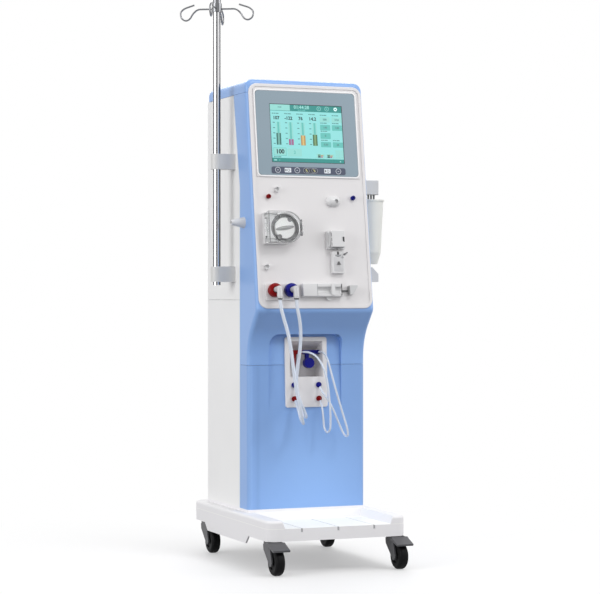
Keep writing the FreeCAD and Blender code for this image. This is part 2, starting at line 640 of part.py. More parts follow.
def key_strip():
    """Dark strip of membrane keys below the screen."""
    face = "monitor_seat - monitor_wall"
    part = Piece("key_strip", ("strip_x", "0", "strip_low"), "panel")
    part.box(("-strip_width / 2", f"{face} - strip_wall", "0"),
             ("strip_width / 2", face, "strip_height"))
    part.fillet("strip_round", along("y"))
    for share in (-0.42, -0.16, 0.03, 0.4):
        part.cylinder((f"{share} * strip_width", f"{face} - strip_wall", "strip_height / 2"),
                      "key_radius", "key_proud", "-y")


def pressure_port(label, sign):
    """Luer port of a pressure sensor."""
    part = Piece(label, (f"{sign} * port_x", "panel_field", "port_up"), "panel")
    part.cylinder(("0", "0", "0"), "port_radius", "port_length * 0.6", "-y")
    part.cylinder(("0", "0", "0"), "port_radius * 0.7", "port_length", "-y")
    part.cylinder(("0", "-port_length * 0.5", "0"), "port_radius * 0.4", "port_length", "-y",
                  cut=True)


def line_holders():
    """Oval line rest and two open clips on the panel, and a conical post on the left side."""
    part = Piece("line_holders")
    face = "panel_field"
    for shift in (-1, 0, 1):
        part.primitive("AdditiveSphere", {"Radius": "rest_radius"},
                       (f"rest_x + {shift} * rest_step", f"{face} + rest_sink", "rest_up"),
                       frame="panel")
    part.box(("rest_x - 2 * rest_radius", face, "rest_up - 2 * rest_radius"),
             ("rest_x + 2 * rest_radius", f"{face} + 2 * rest_radius",
              "rest_up + 2 * rest_radius"), cut=True, frame="panel")
    part.cylinder(("rest_x + rest_step", f"{face} + rest_sink - rest_radius + rest_depth",
                   "rest_up - 1"), "rest_bore", "rest_depth + 1", "-y", cut=True, frame="panel")
    for x, up in (("clip_x", "clip_up"), ("low_clip_x", "low_clip_up")):
        part.cylinder((x, face, up), "clip_radius", "clip_length", "-y", frame="panel")
        part.cylinder((x, f"{face} - 2", up), "clip_radius - clip_wall", "clip_length", "-y",
                      cut=True, frame="panel")
        part.box((f"{x} - clip_radius - 1", f"{face} - clip_length - 1",
                  f"{up} - clip_radius * 0.4"),
                 (x, f"{face} - 2", f"{up} + clip_radius * 0.4"), cut=True, frame="panel")
    side = ("-half", "-side_post_y", "side_post_height")
    part.cone(side, "post_foot", "post_tip", "post_length", "-x")
    part.cylinder(("-half - post_length + 6", "-side_post_y", "side_post_height"),
                  "post_bore", "7", "-x", cut=True)


def pump_housing():
    """Blood pump housing with its round well, line channels and hinge knuckles."""
    part = Piece("pump_housing", ("pump_x", "0", "pump_up"), "panel")
    part.cylinder(("0", "panel_field", "0"), "pump_radius", "pump_depth + panel_field", "-y")
    part.box(("-pump_left", "-pump_depth", "-pump_radius"), ("0", "panel_field", "pump_radius"))
    well = "raceway_radius + raceway_wall"
    part.cylinder(("0", "-raceway_floor + panel_field", "0"), well, "pump_depth + 2", "-y",
                  cut=True)
    for low, high in ((f"-({well})", f"-({well}) + 12"), (f"{well} - 12", well)):
        part.box(("-pump_left - 1", "-pump_depth - 1", low), ("-20", "-pump_depth + 9", high),
                 cut=True)
    part.cylinder(("0", "panel_field + 1", "0"), "shaft_radius + run_gap", "30", "-y", cut=True)
    for low in ("knuckle_half + 1", "-knuckle_half - 1 - knuckle_length"):
        high = f"{low} + knuckle_length"
        foot = ("-cover_hinge_x", "-cover_hinge_out", low)
        part.box(("-cover_hinge_x - knuckle_radius", "-cover_hinge_out", low),
                 ("-cover_hinge_x + knuckle_radius - 0.2", "-pump_depth + 1", high))
        part.cylinder(foot, "knuckle_radius", "knuckle_length")
    part.cylinder(("-cover_hinge_x", "-cover_hinge_out", "-knuckle_half - 4"), "hinge_pin",
                  "2 * knuckle_half + 8")


def pump_raceway():
    """Dark raceway: the wall that the rollers press the line against, and the track's floor."""
    part = Piece("pump_raceway", ("pump_x", "0", "pump_up"), "panel")
    foot = ("0", "-raceway_floor + panel_field", "0")
    part.cylinder(foot, "raceway_radius + raceway_wall", "pump_depth - raceway_floor", "-y")
    track = "-raceway_floor + panel_field - track_floor"
    part.cylinder(("0", track, "0"), "raceway_radius", "pump_depth", "-y", cut=True)
    part.box(("-raceway_radius - 9", "-pump_depth - 1", "-raceway_radius * 0.8"),
             ("-raceway_radius * 0.55", track, "raceway_radius * 0.8"), cut=True)
    part.cylinder(("0", "panel_field", "0"), "shaft_radius + rotor_gap", "pump_depth", "-y",
                  cut=True)


def pump_rotor():
    """Pump rotor: shaft, disc and two open pockets with the headed roller pins."""
    part = Piece("pump_rotor", ("pump_x", "0", "pump_up"), "panel")
    part.cylinder(("0", "-rotor_low", "0"), "rotor_radius", "rotor_depth", "-y")
    part.cylinder(("0", "panel_field", "0"), "shaft_radius", "rotor_low + panel_field + 1", "-y")
    for sign in ("-", ""):
        across, up = f"{sign}roller_x", f"{sign}roller_z"
        part.cylinder((across, "-roller_low + 0.2", up), "roller_radius + rotor_gap",
                      "rotor_depth", "-y", cut=True)
        part.cylinder((across, "-rotor_low - 1", up), "roller_pin", "rotor_depth - 2.5", "-y")
        part.cylinder((across, "-roller_high", up), "pin_head", "rotor_gap * 2", "-y")


def pump_roller(label, sign):
    """Roller on its pin in the rotor."""
    at = (f"{sign} * roller_x + pump_x", "0", f"{sign} * roller_z + pump_up")
    part = Piece(label, at, "panel")
    part.cylinder(("0", "-roller_low - 0.2", "0"), "roller_radius",
                  "roller_high - roller_low - 0.4", "-y")
    part.cylinder(("0", "0", "0"), "roller_pin + run_gap", "pump_depth * 2", "-y", cut=True)


def pump_grip():
    """Leaf-shaped grip across the rotor's face, to turn it by hand."""
    part = Piece("pump_grip", ("pump_x", "-rotor_high", "pump_up"), "panel")
    part.primitive("AdditiveEllipsoid", {"Radius1": "grip_thick", "Radius2": "rotor_radius - 1",
                                         "Radius3": "grip_proud"}, ("0", "0", "0"), "tilt")
    part.box(("-rotor_radius", "0", "-rotor_radius"),
             ("rotor_radius", "grip_proud + 1", "rotor_radius"), cut=True)


def pump_cover():
    """Clear hinged cover over the pump, with its barrel and latch tab."""
    part = Piece("pump_cover", ("pump_x", "0", "pump_up"), "panel")
    rim = "pump_depth + 0.3"
    left = "cover_hinge_x - knuckle_radius - fit_gap"
    part.cylinder(("0", f"-({rim})", "0"), "cover_radius", f"cover_front - ({rim})", "-y")
    part.box((f"-({left})", "-cover_front", "-cover_radius"), ("0", f"-({rim})", "cover_radius"))
    part.fillet("cover_wall * 0.8", level("y", "-cover_front"))
    part.cylinder(("0", f"-({rim}) + 1", "0"), "cover_radius - cover_wall",
                  f"cover_front - ({rim}) - cover_wall + 1", "-y", cut=True)
    part.box((f"-({left}) + cover_wall", "-cover_front + cover_wall",
              "-cover_radius + cover_wall"),
             ("0", f"-({rim}) + 1", "cover_radius - cover_wall"), cut=True)
    part.box(("-cover_hinge_x", "-cover_hinge_out - 2.5", "-knuckle_half"),
             (f"-({left}) + 0.5", "-cover_hinge_out + 2.5", "knuckle_half"))
    part.cylinder(("-cover_hinge_x", "-cover_hinge_out", "-knuckle_half"), "knuckle_radius",
                  "2 * knuckle_half")
    part.cylinder(("-cover_hinge_x", "-cover_hinge_out", "-knuckle_half - 1"),
                  "hinge_pin + run_gap", "2 * knuckle_half + 2", cut=True)
    part.box(("cover_radius - 1", "-cover_hinge_out - 10", "-latch_height / 2"),
             ("cover_radius + latch_width", f"-({rim})", "latch_height / 2"))


def blood_pump_motor():
    """Pump gearmotor behind the panel."""
    part = Piece("blood_pump_motor", ("pump_x", "panel_back", "pump_up"), "panel")
    part.cylinder(("0", "0", "0"), "motor_radius", "motor_length * 0.4", "y")
    part.cylinder(("0", "0", "0"), "motor_radius * 0.75", "motor_length", "y")


def detector_body():
    """Base of the air detector with its line groove and hinge ears."""
    part = Piece("detector_body", ("detector_left", "panel_field", "detector_low"), "panel")
    out = "detector_out + panel_field"
    part.box(("0", f"-({out})", "0"), ("detector_width", "0", "detector_height"))
    part.fillet("3", along("y"))
    middle = "door_left - detector_left + door_width / 2"
    part.box((f"{middle} - line_groove / 2", f"-({out}) - 1", "-1"),
             (f"{middle} + line_groove / 2", f"-({out}) + line_groove_depth",
              "detector_height + 1"), cut=True)
    hinge = ("door_left - detector_left - door_barrel - fit_gap",
             f"-({out}) - door_barrel - fit_gap")
    for low in ("door_low - detector_low + 3", "door_low - detector_low + door_height - 9"):
        part.cylinder((*hinge, low), "door_barrel", "6")
        part.box((f"{hinge[0]} - door_barrel", hinge[1], low),
                 (f"{hinge[0]} + door_barrel", f"-({out}) + 1", f"{low} + 6"))
    part.cylinder((*hinge, "door_low - detector_low + 6"), "door_pin", "door_height - 12")


def detector_door():
    """Hinged door that holds the line in the air detector."""
    part = Piece("detector_door", ("door_left", "panel_field", "door_low"), "panel")
    near = "detector_out + panel_field + fit_gap"
    part.box(("0", f"-({near}) - door_thick", "0"), ("door_width", f"-({near})", "door_height"))
    part.fillet("3", along("y"))
    part.fillet("2", level("y", f"-({near}) - door_thick"))
    part.box(("door_width - 8", f"-({near}) - door_thick - 1", "door_height * 0.35"),
             ("door_width - 3", f"-({near}) - door_thick + 3", "door_height * 0.62"), cut=True)
    hinge = ("-door_barrel - fit_gap", "-(detector_out + panel_field + fit_gap + door_barrel)")
    part.box((hinge[0], f"{hinge[1]} - door_barrel", "9.3"),
             ("1", f"{hinge[1]} + door_barrel - 0.2", "door_height - 9.3"))
    part.cylinder((*hinge, "9.3"), "door_barrel", "door_height - 18.6")
    part.cylinder((*hinge, "0"), "door_pin + run_gap", "door_height", cut=True)


def clamp_body():
    """Line clamp: stepped block with a groove, cross bar and the plunger's bore."""
    part = Piece("clamp_body", ("clamp_left", "panel_field", "clamp_low"), "panel")
    out = "clamp_out + panel_field"
    part.box(("0", f"-({out})", "0"), ("clamp_width", "0", "clamp_height"))
    part.fillet("3", along("y"))
    part.fillet("1.5", level("y", f"-({out})"))
    part.box(("clamp_width / 2 - line_groove / 2", f"-({out}) - 1", "clamp_height * 0.55"),
             ("clamp_width / 2 + line_groove / 2", f"-({out}) + line_groove_depth",
              "clamp_height + 1"), cut=True)
    part.cylinder(("clamp_width / 2", "-2", "clamp_height * 0.45"), "plunger_radius + run_gap",
                  "clamp_out + 5", "-y", cut=True)
    lever = [("clamp_width * 0.8", "clamp_height * 0.76"),
             ("clamp_width * 0.94", "clamp_height * 0.72"),
             ("clamp_width * 1.28", "clamp_height * 0.91"),
             ("clamp_width * 1.14", "clamp_height * 0.95")]
    part.extrude("XZ_Plane", lever, f"{out} - 1", f"{out} + 5")


def clamp_plunger():
    """Wedge-headed plunger of the line clamp."""
    at = ("clamp_left + clamp_width / 2", "panel_field", "clamp_low + clamp_height * 0.45")
    part = Piece("clamp_plunger", at, "panel")
    out = "clamp_out + panel_field"
    part.cylinder(("0", "-3", "0"), "plunger_radius", f"{out} - 2", "-y")
    head = [("-plunger_head", "-plunger_head * 0.6"), ("plunger_head", "-plunger_head * 0.6"),
            ("0", "plunger_head")]
    part.extrude("XZ_Plane", head, f"{out} + 0.3", f"{out} + 3.3")


def coupler(label, x):
    """Thick round quick coupler parked on the panel."""
    part = Piece(label, (x, "-pad_out", "coupler_up"), "panel")
    part.cylinder(("0", "0", "0"), "coupler_radius", "coupler_thick", "-y")
    part.fillet("coupler_thick * 0.4", level("y", "-coupler_thick"))
    part.cylinder(("0", "-coupler_thick + 4", "0"), "coupler_dish", "10", "-y", cut=True)


def coupler_elbows():
    """White elbows that carry the dialysate hoses on the couplers."""
    part = Piece("coupler_elbows", ("0", "0", "coupler_up"), "panel")
    start = "pad_out + coupler_thick - 4"
    for x in ("red_coupler_x", "blue_coupler_x"):
        part.cylinder((x, f"-({start})", "0"), "elbow_radius", f"elbow_reach - ({start})", "-y")
        part.primitive("AdditiveSphere", {"Radius": "elbow_radius"}, (x, "-elbow_reach", "0"))
        part.cylinder((x, "-elbow_reach", "0"), "elbow_radius", "elbow_drop - 4", "-z")
        part.cylinder((x, "-elbow_reach", "0"), "elbow_radius * 0.8", "elbow_drop", "-z")


def syringe_pump_body():
    """Syringe pump: left block, trough for the barrel and end plate."""
    part = Piece("syringe_pump_body", ("syringe_left", "panel_field", "syringe_low"), "panel")
    out = "syringe_out + panel_field"
    part.box(("0", f"-({out})", "0"), ("syringe_width", "0", "syringe_height"))
    part.fillet("2.5", level("y", f"-({out})"))
    up = "trough_up - syringe_low"
    part.cylinder(("syringe_block", f"-({out})", up), "trough_radius", "syringe_width", "x",
                  cut=True)
    part.box(("syringe_width", "-end_plate_out", "0"),
             ("syringe_width + end_plate", "0", "syringe_height"))
    part.cylinder(("syringe_width - 1", f"-({out})", up), "trough_radius", "end_plate + 2", "x",
                  cut=True)
    part.cylinder(("arm_x - syringe_left - 8", "0", "-1"), "8.5", "7", "-y")
    part.cylinder(("8", "-pusher_rod - 0.7", up), "pusher_rod + run_gap", "syringe_width", "x",
                  cut=True)
    post_up = "arm_low + arm_height - syringe_low - arm_post - 1"
    part.cylinder(("arm_x - syringe_left", f"-({out}) - 1", post_up), "arm_post + run_gap", out,
                  "y", cut=True)


def syringe_pusher():
    """Pusher with its rod, which drives the syringe's plunger."""
    part = Piece("syringe_pusher", ("pusher_left", "panel_field", "trough_up"), "panel")
    part.cylinder(("-pusher_reach", "-pusher_rod - 0.7", "0"), "pusher_rod",
                  "pusher_reach + 3", "x")
    wedge = [("0", "-pusher_height / 2 + 2"), ("pusher_width * 0.4", "-pusher_height / 2 + 2"),
             ("pusher_width", "pusher_height / 2 - 4"), ("pusher_width", "pusher_height / 2"),
             ("0", "pusher_height / 2")]
    part.extrude("XZ_Plane", wedge, "0.3", "end_plate_out")


def syringe_clamp():
    """Arm that holds the syringe's barrel in the trough, on its sliding post."""
    part = Piece("syringe_clamp", ("arm_x", "panel_field", "arm_low"), "panel")
    near = "syringe_out + panel_field + 0.3"
    part.box(("-arm_width / 2", f"-({near}) - arm_thick", "0"),
             ("arm_width / 2", f"-({near})", "arm_height"))
    part.fillet("3", along("y"))
    part.cylinder(("0", f"-({near}) - 1", "arm_height - arm_post - 1"), "arm_post",
                  f"{near} - 2", "y")


def concentrate_panel():
    """White concentrate panel: plate, tub behind it and the niche with its sloped ceiling."""
    part = Piece("concentrate_panel", frame="niche")
    part.box(("plate_left", "-plate_out", "plate_low"),
             ("plate_left + plate_width", "0", "plate_low + plate_height"))
    part.fillet("plate_corner", along("y"))
    part.fillet("2", level("y", "-plate_out"))
    part.box(("tub_left", "-1", "tub_low"),
             ("tub_left + tub_width", "tub_depth", "tub_low + tub_height"))
    side = [("-plate_out - 1", "niche_low"), ("tub_depth - niche_wall", "niche_low"),
            ("tub_depth - niche_wall", "niche_top - niche_slope"),
            ("-plate_out - 1", "niche_top")]
    part.extrude("YZ_Plane", side, "tub_left + niche_wall",
                 "tub_left + tub_width - niche_wall", cut=True)


def red_connector():
    """Red concentrate connector: bar in the niche with its tapered wand."""
    part = Piece("red_connector", frame="niche")
    part.box(("tub_left + niche_wall", "bar_near", "bar_low"),
             ("red_bar_end", "bar_near + bar_thick", "bar_low + bar_height"))
    part.fillet("2", along("x"))
    part.cone(("wand_x", "bar_near + bar_thick / 2", "bar_low + 1"), "wand_radius",
              "wand_radius * 0.6", "wand_drop", "-z")
    part.cylinder(("red_bar_end - 5", "bar_near + 1", "bar_low + bar_height / 2"),
                  "nozzle_radius", "tap_up", "-y")


def blue_connector():
    """Blue concentrate connector: bar in the niche with its round knob."""
    part = Piece("blue_connector", frame="niche")
    part.box(("blue_bar_end", "bar_near", "bar_low"),
             ("tub_left + tub_width - niche_wall", "bar_near + bar_thick",
              "bar_low + bar_height"))
    part.fillet("2", along("x"))
    part.box(("knob_x - 5", "bar_near + 2", "knob_up"),
             ("knob_x + 5", "bar_near + bar_thick - 2", "bar_low + 1"))
    part.cylinder(("knob_x", "bar_near + 4", "knob_up"), "knob_radius", "bar_near + 2", "-y")
    part.cylinder(("tub_left + tub_width - niche_wall - 5", "bar_near + 1",
                   "bar_low + bar_height / 2"), "nozzle_radius", "tap_up", "-y")


def line_ports(label, places):
    """Hose nozzles in their coloured rings on the concentrate panel."""
    part = Piece(label, ("0", "-plate_out", "0"), "niche")
    for x, up in places:
        part.cylinder((x, "0", up), "ring_radius", "ring_out", "-y")
        part.primitive("AdditiveSphere", {"Radius": "nozzle_radius + 1"}, (x, "-ring_out", up))
        part.cylinder((x, "-ring_out", up), "nozzle_radius", "nozzle_length", "droop")


def pole_brackets():
    """Two brackets on the left side that hold the pole."""
    part = Piece("pole_brackets", ("pole_x", "pole_y", "0"))
    for low in ("lower_bracket", "upper_bracket"):
        part.box(("0", "-grip_radius", low),
                 ("-half - pole_x", "grip_radius", f"{low} + bracket_height"))
        part.cylinder(("0", "0", low), "grip_radius", "bracket_height")
    for low in ("lower_bracket", "upper_bracket"):
        part.cylinder(("0", "0", f"{low} - 1"), "pole_radius + run_gap", "bracket_height + 2",
                      cut=True)


def iv_pole():
    """Bright steel tube of the drip stand."""
    part = Piece("iv_pole", ("pole_x", "pole_y", "pole_low"))
    part.cylinder(("0", "0", "0"), "pole_radius", "pole_top - pole_low")
    part.cylinder(("0", "0", "5"), "pole_bore", "pole_top - pole_low", cut=True)


def cup_brackets():
    """Two brackets on the right side: the upper one with drip nozzles, the lower one a rest."""
    part = Piece("cup_brackets", ("0", "cup_y", "0"))
    part.box(("half", "-arm_half", "cup_arm_low"), ("arm_end", "arm_half", "cup_arm_high"))
    part.fillet("3", along("x"))
    rest = [("half", "rest_low"), ("arm_end", "rest_low"), ("arm_end", "rest_high - rest_slope"),
            ("arm_end - rest_slope", "rest_high"), ("half", "rest_high")]
    part.extrude("XZ_Plane", rest, "-arm_half", "arm_half")
    for x in ("cup_x + 4", "cup_x + 13", "cup_x + 22"):
        part.cylinder((x, "0", "cup_arm_low + 1"), "pin_radius", "pin_drop + 1", "-z")


def measuring_cup():
    """Clear tapered cup between the right-hand brackets."""
    part = Piece("measuring_cup", ("cup_x", "cup_y", "0"))
    wall = "cup_wall"
    profile = [
        ("0", "cup_low"), ("cup_base", "cup_low"), ("cup_waist", "cup_low + cup_waist_height"),
        ("cup_mouth", "cup_top - cup_lip"), ("cup_rim", "cup_top - cup_lip"),
        ("cup_rim", "cup_top"), (f"cup_mouth - {wall}", "cup_top"),
        (f"cup_waist - {wall}", "cup_low + cup_waist_height"),
        (f"cup_base - {wall}", f"cup_low + {wall}"), ("0", f"cup_low + {wall}"),
    ]
    part.revolve("XZ_Plane", profile)
    part.cylinder(("0", "0", "rest_high"), "cup_foot", f"cup_low - rest_high + {wall} / 2")


def caster_fork(label, x, y, braked):
    """Swivelling castor fork with its stem, tapering legs and axle."""
    part = Piece(label, (x, y, "0"))
    back = "fork_half * 0.9"
    inner, outer = "wheel_clear", "wheel_clear + leg_wall"
    part.box((f"-({outer})", "-fork_half - 2", "fork_top - fork_head"),
             (outer, back, "fork_top"))
    part.fillet("6", along("z"))
    part.cylinder(("0", "0", "fork_top - 1"), "stem_radius - run_gap", "stem_length + 1")
    leg = [("-fork_half - 2", "fork_top - 8"), (back, "fork_top - 8"),
           (f"{back} - 3", "fork_top - fork_head - 8"),
           ("-caster_trail + leg_round", "wheel_radius - 3"),
           ("-caster_trail - leg_round", "wheel_radius + 3")]
    for start, end in ((f"-({outer})", f"-({inner})"), (inner, outer)):
        part.extrude("YZ_Plane", leg, start, end)
        part.cylinder((start, "-caster_trail", "wheel_radius"), "leg_round", "leg_wall", "x")
    part.cylinder((f"-({outer})", "-caster_trail", "wheel_radius"), "axle_radius",
                  f"2 * ({outer})", "x")
    if braked:
        part.cylinder(("-pedal_half", "-pedal_pin_y", "pedal_pin_z"), "pedal_pin",
                      "2 * pedal_half", "x")


def caster_wheel(label, x, y):
    """Castor wheel with a rounded tread, turning on the fork's axle."""
    part = Piece(label, (x, f"{y} - caster_trail", "wheel_radius"))
    part.cylinder(("-wheel_width / 2", "0", "0"), "wheel_radius", "wheel_width", "x")
    part.fillet("wheel_round", level("x", "wheel_width / 2", "-wheel_width / 2"))
    for side in ("-wheel_width / 2 - 1", "wheel_width / 2 - 3"):
        part.cylinder((side, "0", "0"), "wheel_radius * 0.55", "4", "x", cut=True)
    for side in ("-wheel_width / 2", "wheel_width / 2 - 4"):
        part.cylinder((side, "0", "0"), "axle_radius * 2", "4", "x")
    part.cylinder(("-wheel_width", "0", "0"), "axle_radius + run_gap", "2 * wheel_width", "x",
                  cut=True)


def brake_pedal(label, x):
    """Foot brake on a front castor, hinged on the fork's pin."""
    part = Piece(label, (x, "-front_caster", "0"))
    inner = "wheel_clear + leg_wall + fit_gap"
    top = "fork_top - 1"
    profile = [("-fork_half - 6", top), ("-fork_half - 14", "fork_top - 5"),
               ("-pedal_reach", "fork_top - 18"), ("-pedal_reach + 2", "fork_top - 23"),
               ("-fork_half - 14", "fork_top - 5 - pedal_thick - 3"),
               ("-fork_half - 6", "fork_top - pedal_thick - 4")]
    part.extrude("YZ_Plane", profile, "-pedal_half", "pedal_half")
    cheek = rectangle("-fork_half - 8", "pedal_pin_z - 6", "-pedal_pin_y + 6",
                      "pedal_pin_z + 6")
    for start, end in (("-pedal_half", f"-({inner})"), (inner, "pedal_half")):
        part.extrude("YZ_Plane", cheek, start, end)
    part.cylinder(("-pedal_half - 1", "-pedal_pin_y", "pedal_pin_z"), "pedal_pin + run_gap",
                  "2 * pedal_half + 2", "x", cut=True)


def rounded_path(points):
    """Join straight runs by tangent arcs as large as the two runs at each corner allow."""
    points = [Vector(*point) for point in points]
    edges = []
    radii = []
    start = points[0]
    for before, corner, after in zip(points, points[1:], points[2:]):
        incoming = (corner - before).normalize()
        outgoing = (after - corner).normalize()
        turn = incoming.getAngle(outgoing)
        reach = 0.45 * min((corner - before).Length, (after - corner).Length)
        radius = reach / math.tan(turn / 2)
        first = corner - incoming * reach
        last = corner + outgoing * reach
        towards = (outgoing - incoming).normalize()
        centre = corner + towards * (radius / math.cos(turn / 2))
        middle = centre - towards * radius
        edges.append(Part.LineSegment(start, first).toShape())
        edges.append(Part.Arc(first, middle, last).toShape())
        start = last
        radii.append(radius)
    edges.append(Part.LineSegment(start, points[-1]).toShape())
    return Part.Wire(edges), radii


def swept_rod(points, radius):
    """Sweep a round section along a rounded path."""
    path, radii = rounded_path(points)
    direction = Vector(*points[1]) - Vector(*points[0])
    ring = Part.Circle(Vector(*points[0]), direction, radius).toShape()
    rod = path.makePipeShell([Part.Wire([ring])], True, False)
    return rod, path, radii


def shaped(label, shape, at):
    """Keep a shape that code has made as a labelled sub-part at its place."""
    part = doc.addObject("Part::Feature", label)
    part.Label = label
    part.Shape = shape
    place(part, at)
    PIECES.append(part)


def hook_head():
    """Swivelling head of the drip stand: hub, stem, cap and four bent-wire hooks."""
    height = value("hub_height")
    hub = Part.makeCylinder(value("hub_radius"), height, Vector(0, 0, value("seam_gap")))
    stem = Part.makeCylinder(value("pole_bore - run_gap"), value("hub_stem + 2 * seam_gap"),
                             Vector(0, 0, -value("hub_stem")))
    cap = Part.makeCylinder(value("cap_radius"), value("cap_height"), Vector(0, 0, height))
    rise = value("hook_rise")
    route = [(10, 0), (57, 0), (71, -12), (80, -28), (92, -34), (106, -26), (109, -8),
             (97, 3), (66, 13)]
    head = hub.fuse([stem, cap])
    count = int(value("hook_count"))
    for turn in range(count):
        angle = value("hook_turn") + turn * 360 / count
        hook, path, radii = swept_rod([(across, 0, rise + up) for across, up in route],
                                      value("hook_wire"))
        hook.rotate(Vector(0, 0, 0), Vector(0, 0, 1), angle)
        head = head.fuse(hook)
    shaped("hook_head", head, ("pole_x", "pole_y", "pole_top"))


RED_HOSE = [
    (-130, -291.39, 766.75), (-130, -294.74, 743), (-120, -298, 706), (-108, -301, 664),
    (-100, -303, 614), (-94, -305, 562), (-87, -306, 514), (-76, -305, 466), (-67.7, -299, 434),
    (-57, -283, 413), (-45, -258, 408), (-43, -234, 419), (-42, -219, 438), (-42, -206.4, 454.8),
    (-42, -190.88, 468.8),
]
BLUE_HOSE = [
    (-80, -291.39, 766.75), (-80, -294.74, 743), (-71, -295, 704), (-67, -293, 660),
    (-70, -291, 612), (-77, -290, 568), (-81, -290, 526), (-75, -292, 486), (-60, -291, 455),
    (-46, -278, 433), (-36, -256, 425), (-34, -231, 434), (-38, -217, 456), (-41, -210, 478),
    (-42, -201.2, 497.57), (-42, -188.79, 508.74),
]
RED_TUBE = [
    (-10, -156.76, 610.29), (-10, -171, 611.03), (-1, -188, 611), (11, -205, 604), (21, -220, 588),
    (29, -233, 564), (34, -242, 536), (37, -247, 506), (39, -250, 474), (41, -252, 444),
    (42, -251, 414), (42, -250, 389), (40.5, -231, 377), (38, -213, 388), (36.5, -211, 413),
    (35.5, -208, 438), (35, -201.4, 459.33), (35, -190.88, 468.8),
]
BLUE_TUBE = [
    (45, -156.76, 610.29), (45, -171, 611.03), (48, -187, 608), (52, -203, 593), (55, -218, 562),
    (60, -228, 530), (67, -236, 495), (77, -242, 455), (89, -246, 414), (97, -247, 388),
    (103, -238, 368), (103, -216, 365), (98, -203, 382), (87, -204, 406), (74, -206, 434),
    (61, -207, 460), (47, -207, 480), (35, -200.5, 498.2), (35, -188.79, 508.74),
]


def cord(label, points, radius):
    """Plain tube along a hand-picked route, in the cabinet's frame."""
    tube, path, radii = swept_rod(points, value(radius))
    smallest = " ".join(f"{size:.0f}" for size in radii)
    ideal = math.pi * value(radius) ** 2 * path.Length
    print(f"{label}: length {path.Length:.1f}, radii {smallest}, volume {tube.Volume / ideal:.3f}")
    shaped(label, tube, ("0", "0", "0"))


base_tray()
chassis_frame()
hydraulic_module()
power_supply()
top_cap()
upper_front_shell()
lower_front_cover()
side_panels("left_side_panels", -1)
side_panels("right_side_panels", 1)
rear_cover()
rear_connectors()
front_panel()
monitor_bezel()
lcd_screen()
key_strip()
pressure_port("arterial_port", "-1")
pressure_port("venous_port", "1")
line_holders()
pump_housing()
pump_raceway()
pump_rotor()
pump_roller("pump_roller_left", "-1")
pump_roller("pump_roller_right", "1")
pump_grip()
pump_cover()
blood_pump_motor()
detector_body()
detector_door()
clamp_body()
clamp_plunger()
coupler("red_coupler", "red_coupler_x")
coupler("blue_coupler", "blue_coupler_x")
coupler_elbows()
syringe_pump_body()
syringe_pusher()
syringe_clamp()
concentrate_panel()
red_connector()
blue_connector()
line_ports("red_line_ports", (("left_port_x", "low_port_up"), ("right_port_x", "low_port_up")))
line_ports("blue_line_ports", (("left_port_x", "high_port_up"),
                               ("right_port_x", "high_port_up")))
pole_brackets()
iv_pole()
hook_head()
cup_brackets()
measuring_cup()
CASTERS = [
    ("front_left", "-caster_x", "-front_caster"), ("front_right", "caster_x", "-front_caster"),
    ("rear_left", "-caster_x", "rear_caster"), ("rear_right", "caster_x", "rear_caster"),
]
for corner, across, deep in CASTERS:
    caster_fork("caster_fork_" + corner, across, deep, corner.startswith("front"))
    caster_wheel("caster_wheel_" + corner, across, deep)
brake_pedal("brake_pedal_left", "-caster_x")
brake_pedal("brake_pedal_right", "caster_x")
cord("red_hose", RED_HOSE, "hose_radius")
cord("blue_hose", BLUE_HOSE, "hose_radius")
cord("red_tube", RED_TUBE, "tube_radius")
cord("blue_tube", BLUE_TUBE, "tube_radius")

doc.recompute()


def removes_nothing(feature):
    """Tell whether a cut leaves its sub-part as it was."""
    kind = feature.TypeId.split("::")[1]
    if not kind.startswith(("Subtractive", "Pocket", "Groove")):
        return False
    return feature.BaseFeature.Shape.Volume - feature.Shape.Volume < 1


idle = [f"{item.Label} in {item.InList[0].Label}" for item in doc.Objects
        if removes_nothing(item)]
if idle:
    raise RuntimeError("cuts that remove nothing: " + ", ".join(idle))
failed = [f"{item.Label} in {[body.Label for body in item.InList]}" for item in doc.Objects
          if {"Invalid", "Error"} & set(item.State)]
for part in PIECES:
    if part.Shape.isNull() or not part.Shape.isValid() or not part.Shape.Solids:
        failed.append(part.Label)
if failed:
    raise RuntimeError("failed: " + ", ".join(failed))
os.makedirs("parts", exist_ok=True)
for part in PIECES:
    part.Shape.exportStep(f"parts/{part.Label}.step")
print(len(PIECES), "sub-parts written")
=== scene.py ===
"""The looks of a haemodialysis machine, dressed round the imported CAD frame. Metres, +Z up."""
import json
import math

import bmesh
import bpy
from mathutils import Matrix, Vector


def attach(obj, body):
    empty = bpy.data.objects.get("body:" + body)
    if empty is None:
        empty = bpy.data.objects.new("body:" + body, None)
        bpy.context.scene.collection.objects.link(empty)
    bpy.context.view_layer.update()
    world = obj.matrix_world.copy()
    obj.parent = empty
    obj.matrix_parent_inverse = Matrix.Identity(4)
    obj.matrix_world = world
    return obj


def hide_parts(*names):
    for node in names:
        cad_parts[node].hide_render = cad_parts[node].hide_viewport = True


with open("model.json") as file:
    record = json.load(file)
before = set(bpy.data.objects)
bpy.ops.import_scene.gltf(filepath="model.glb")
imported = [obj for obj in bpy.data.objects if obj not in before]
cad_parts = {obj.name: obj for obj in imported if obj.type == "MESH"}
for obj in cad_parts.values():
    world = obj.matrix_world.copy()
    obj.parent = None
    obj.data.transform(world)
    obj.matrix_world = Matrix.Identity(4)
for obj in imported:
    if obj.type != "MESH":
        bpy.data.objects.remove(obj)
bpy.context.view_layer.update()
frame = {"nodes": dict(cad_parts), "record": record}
NODES = frame["nodes"]

